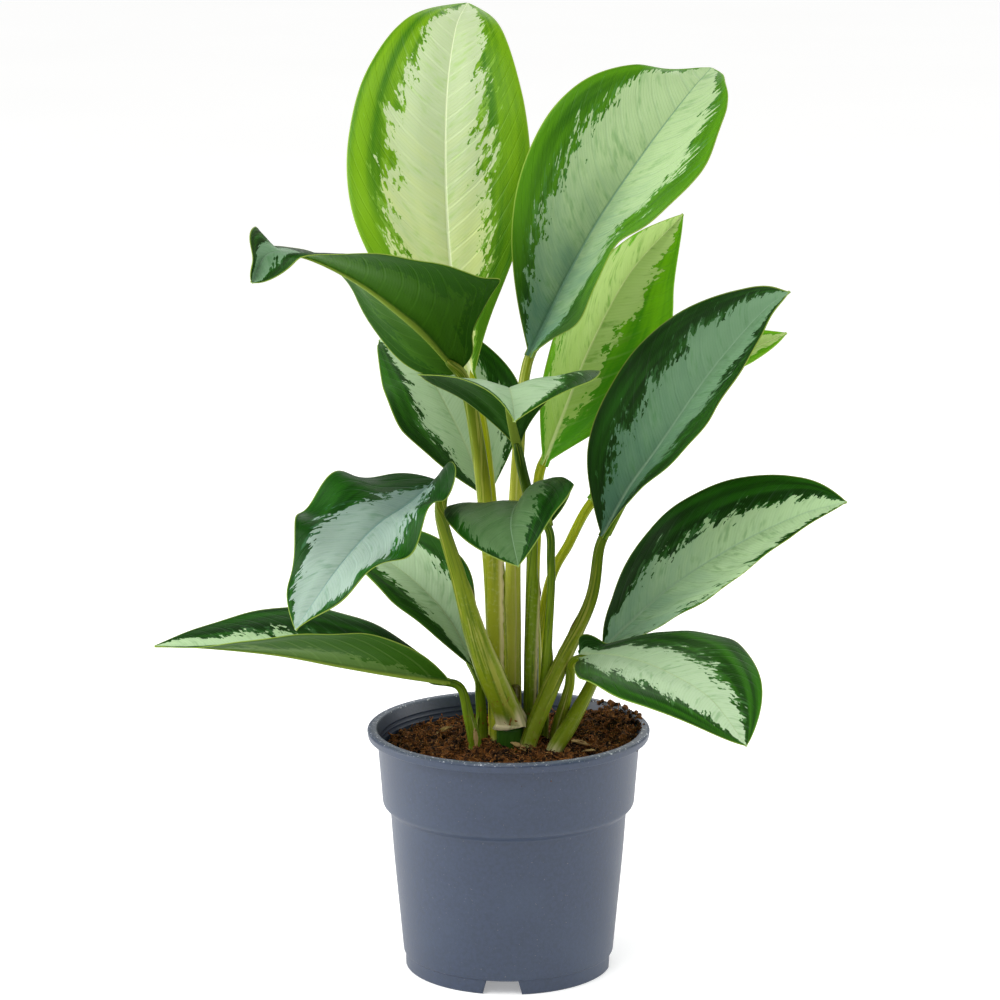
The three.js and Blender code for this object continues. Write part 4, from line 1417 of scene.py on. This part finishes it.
def soilPiece(material):
    theta = np.linspace(0, 2 * np.pi, soil["segments"], endpoint=False)
    ring = np.stack([np.cos(theta), np.sin(theta)], -1)
    radii = soil["edgeRadius"] * np.linspace(0, 1, soil["rings"] + 1)[1:] ** .8
    rows = [[(x, y, soilHeight(x, y)) for x, y in ring * radius] for radius in radii]
    for radius, height in soil["sides"]:
        rows.append([(x, y, height) for x, y in ring * radius])
    grid = np.arange(len(rows) * len(theta)).reshape(len(rows), -1)
    faces = gridFaces(grid[::-1], closedAcross=True)
    # a fan of triangles closes the middle of the surface and of the underside
    for row, pole, turn in ((grid[0], grid.size, 1), (grid[-1], grid.size + 1, -1)):
        around = np.roll(row, -1)
        faces += [[a, b, pole][::turn] for a, b in zip(row.tolist(), around.tolist())]
    poles = [(0, 0, soilHeight(0, 0)), (0, 0, soil["sides"][-1][1])]
    return meshObject("soilBody", [point for row in rows for point in row] + poles, faces, material)


def rimOrSoil(x, y):
    height = soilHeight(x, y)
    onRim = math.hypot(x, y) > pot["rimInnerRadius"] - .001
    return max(height, pot["height"] + .0002) if onRim else height


def scatterPatch(name, radius, spill):
    # the soil's surface as an open patch that crumbs and fibres are scattered on. It runs
    # out over the rim where the soil is banked up
    theta = np.linspace(0, 2 * np.pi, 120, endpoint=False)
    reach = [1 + spill * bankAt(math.cos(t), math.sin(t)) for t in theta]
    points = []
    for r in radius * np.linspace(0, 1, 60)[1:]:
        for t, further in zip(theta, reach):
            x, y = r * further * math.cos(t), r * further * math.sin(t)
            points.append((x, y, rimOrSoil(x, y)))
    grid = np.arange(len(points)).reshape(-1, len(theta))
    faces = [face[::-1] for face in gridFaces(grid, closedAcross=True)]
    return meshObject(name, points, faces + [grid[0].tolist()], None)


def scatterCrumbs(patch, material):
    # rugged little balls of peat, most of them small
    tree, size = newGeometryTree("soilCrumbs", soilCrumbs)
    add = partial(addNode, tree)
    points = add(
        "GeometryNodeDistributePointsOnFaces", size["Geometry"], True, size["density"],
        size["seed"])
    crumb = add("GeometryNodeMeshIcoSphere", 1, 1)
    spin = add("FunctionNodeRandomValue FLOAT_VECTOR", (0, 0, 0), (6.28, 6.28, 6.28))
    pick = add("FunctionNodeRandomValue FLOAT", 0, 1, None, 5)
    form = add("FunctionNodeRandomValue FLOAT_VECTOR", (.6, .6, .45), (1.3, 1, .9), None, 9)
    cubed = add("Math POWER", pick, 3)
    width = add("MapRange", cubed, 0, 1, size["smallest"], size["largest"])
    scale = add("VectorMath SCALE", form, width)
    copies = add("GeometryNodeInstanceOnPoints", points, True, crumb, False, 0, spin, scale)
    real = add("GeometryNodeRealizeInstances", copies)
    rough = add("TexNoise", add("GeometryNodeInputPosition"), 900, 1)
    shift = add("VectorMath SUBTRACT", rough.outputs["Color"], (.5, .5, .5))
    push = add("VectorMath SCALE", shift, size["ruggedness"])
    rugged = add("GeometryNodeSetPosition", real, True, None, push)
    return bakeTree(patch, finishTree(tree, rugged, material), soilCrumbs)


def scatterFibres(patch, material):
    # short threads of coir that curl over the crumbs
    tree, size = newGeometryTree("soilFibres", soilFibres)
    add = partial(addNode, tree)
    points = add(
        "GeometryNodeDistributePointsOnFaces", size["Geometry"], True, size["density"],
        size["seed"])
    strand = add("GeometryNodeCurvePrimitiveLine", (-.5, 0, 0), (.5, 0, 0))
    strand = add("GeometryNodeResampleCurve", strand, True, 9)
    spin = add("FunctionNodeRandomValue FLOAT_VECTOR", (-.5, -.5, 0), (.5, .5, 6.28))
    share = add("FunctionNodeRandomValue FLOAT", size["shortest"], 1, None, 3)
    scale = add("Math MULTIPLY", share, size["length"])
    copies = add("GeometryNodeInstanceOnPoints", points, True, strand, False, 0, spin, scale)
    real = add("GeometryNodeRealizeInstances", copies)
    wander = add("TexNoise", add("GeometryNodeInputPosition"), 170, 1)
    shift = add("VectorMath SUBTRACT", wander.outputs["Color"], (.5, .5, .42))
    push = add("VectorMath SCALE", shift, size["curl"])
    curled = add("GeometryNodeSetPosition", real, True, None, push)
    ring = add("GeometryNodeCurvePrimitiveCircle", 4, size["thickness"])
    tube = add("GeometryNodeCurveToMesh", curled, ring, 1, True)
    return bakeTree(patch, finishTree(tree, tube, material), soilFibres)


# dried scraps of leaf sheath on the soil and at the stalks' feet; angles in degrees
huskSheet = {"thickness": .00025, "rows": 15, "columns": 9, "bend": 35, "curl": 120}
husks = [
    {"place": (.0490, -.0145), "turn": 190, "tilt": 14, "length": .0125, "width": .008},
    {"place": (.044, -.021), "turn": 330, "tilt": 8, "length": .009, "width": .005},
    {"place": (-.0195, -.0215), "turn": 120, "tilt": 76, "length": .011, "width": .004},
    {"place": (.0105, -.0225), "turn": 160, "tilt": 20, "length": .011, "width": .007, "curl": 130},
    {"place": (-.043, .012), "turn": 30, "tilt": 10, "length": .011, "width": .006, "curl": 140},
    {"place": (.022, .047), "turn": 250, "tilt": 10, "length": .012, "width": .006, "curl": 130},
]


def huskPiece(name, husk, material):
    # a pointed strip, rolled across and bent a little along its length
    t = np.linspace(0, 1, husk["rows"])
    across = np.linspace(-1, 1, husk["columns"])
    width = husk["width"] / 2 * np.sin(np.pi * np.clip(t * .86 + .1, 0, 1)) ** .7
    ragged = 1 + .12 * np.sin(t * 23 + husk["turn"]) * np.sin(t * 9)
    angle = math.radians(husk["curl"]) / 2 * across
    radius = (width * ragged / math.radians(husk["curl"] / 2))[:, None]
    bend = math.radians(husk["bend"]) * t
    x = (husk["length"] * t)[:, None] + 0 * angle
    z = (husk["length"] * (1 - np.cos(bend)) / 2)[:, None] + radius * (1 - np.cos(angle))
    sheets = []
    for layer in (0, husk["thickness"]):
        y = (radius - layer) * np.sin(angle)
        sheets.append(np.stack([x, y, z + layer * np.cos(angle)], -1).reshape(-1, 3))
    x, y, z = np.concatenate(sheets).T
    tilt, turn = math.radians(husk["tilt"]), math.radians(husk["turn"])
    out = x * math.cos(tilt) - z * math.sin(tilt)
    rise = x * math.sin(tilt) + z * math.cos(tilt)
    px, py = husk["place"]
    placed = np.stack([
        px + out * math.cos(turn) - y * math.sin(turn),
        py + out * math.sin(turn) + y * math.cos(turn),
        soilHeight(px, py) + .0004 + rise], -1)
    return meshObject(name, placed, sheetFaces(husk["rows"], husk["columns"]), material)


def driedSheath():
    # papery dead leaf sheath: pale tan, matt, with fine fibres and brown stains of 3 mm
    material, tree = newMaterial("driedSheath")
    add = partial(addNode, tree)
    place = add("TexCoord").outputs["Object"]
    fibres = add("TexWave", place, 700, 3, 2)
    stains = add("MapRange", add("TexNoise", place, 330, 3, .6), .5, .68)
    finishMaterial(
        tree, BaseColor=layered(add, "#93743f", (fibres, "#bfa873"), (stains, "#5a3818")),
        Roughness=.75, SpecularIORLevel=.25,
        Normal=add("Bump", .4, .0003, Height=fibres.outputs["Fac"]))
    return material


peat = soilSkin("peatAndCoir", "#120903", "#694018", "#b07a3e")
coir = soilSkin("coirFibre", "#3a1f0b", "#8a5524", "#c99a5c")
soilBody = soilPiece(peat)
onRoot(soilBody, slotOf["soil"], "soil")
crumbPatch = scatterPatch("soilCrumbs", soil["crumbReach"], soil["crumbSpill"])
crumbs = scatterCrumbs(crumbPatch, peat)
onRoot(crumbs, slotOf["soil"])
fibrePatch = scatterPatch("soilFibres", soil["fibreReach"], soil["fibreSpill"])
fibres = scatterFibres(fibrePatch, coir)
onRoot(fibres, slotOf["soil"])
paper = driedSheath()
for number, husk in enumerate(husks, 1):
    onRoot(huskPiece(f"driedHusk_{number}", huskSheet | husk, paper), slotOf["soil"])
print("soil made, faces:", len(crumbs.data.polygons) + len(fibres.data.polygons))
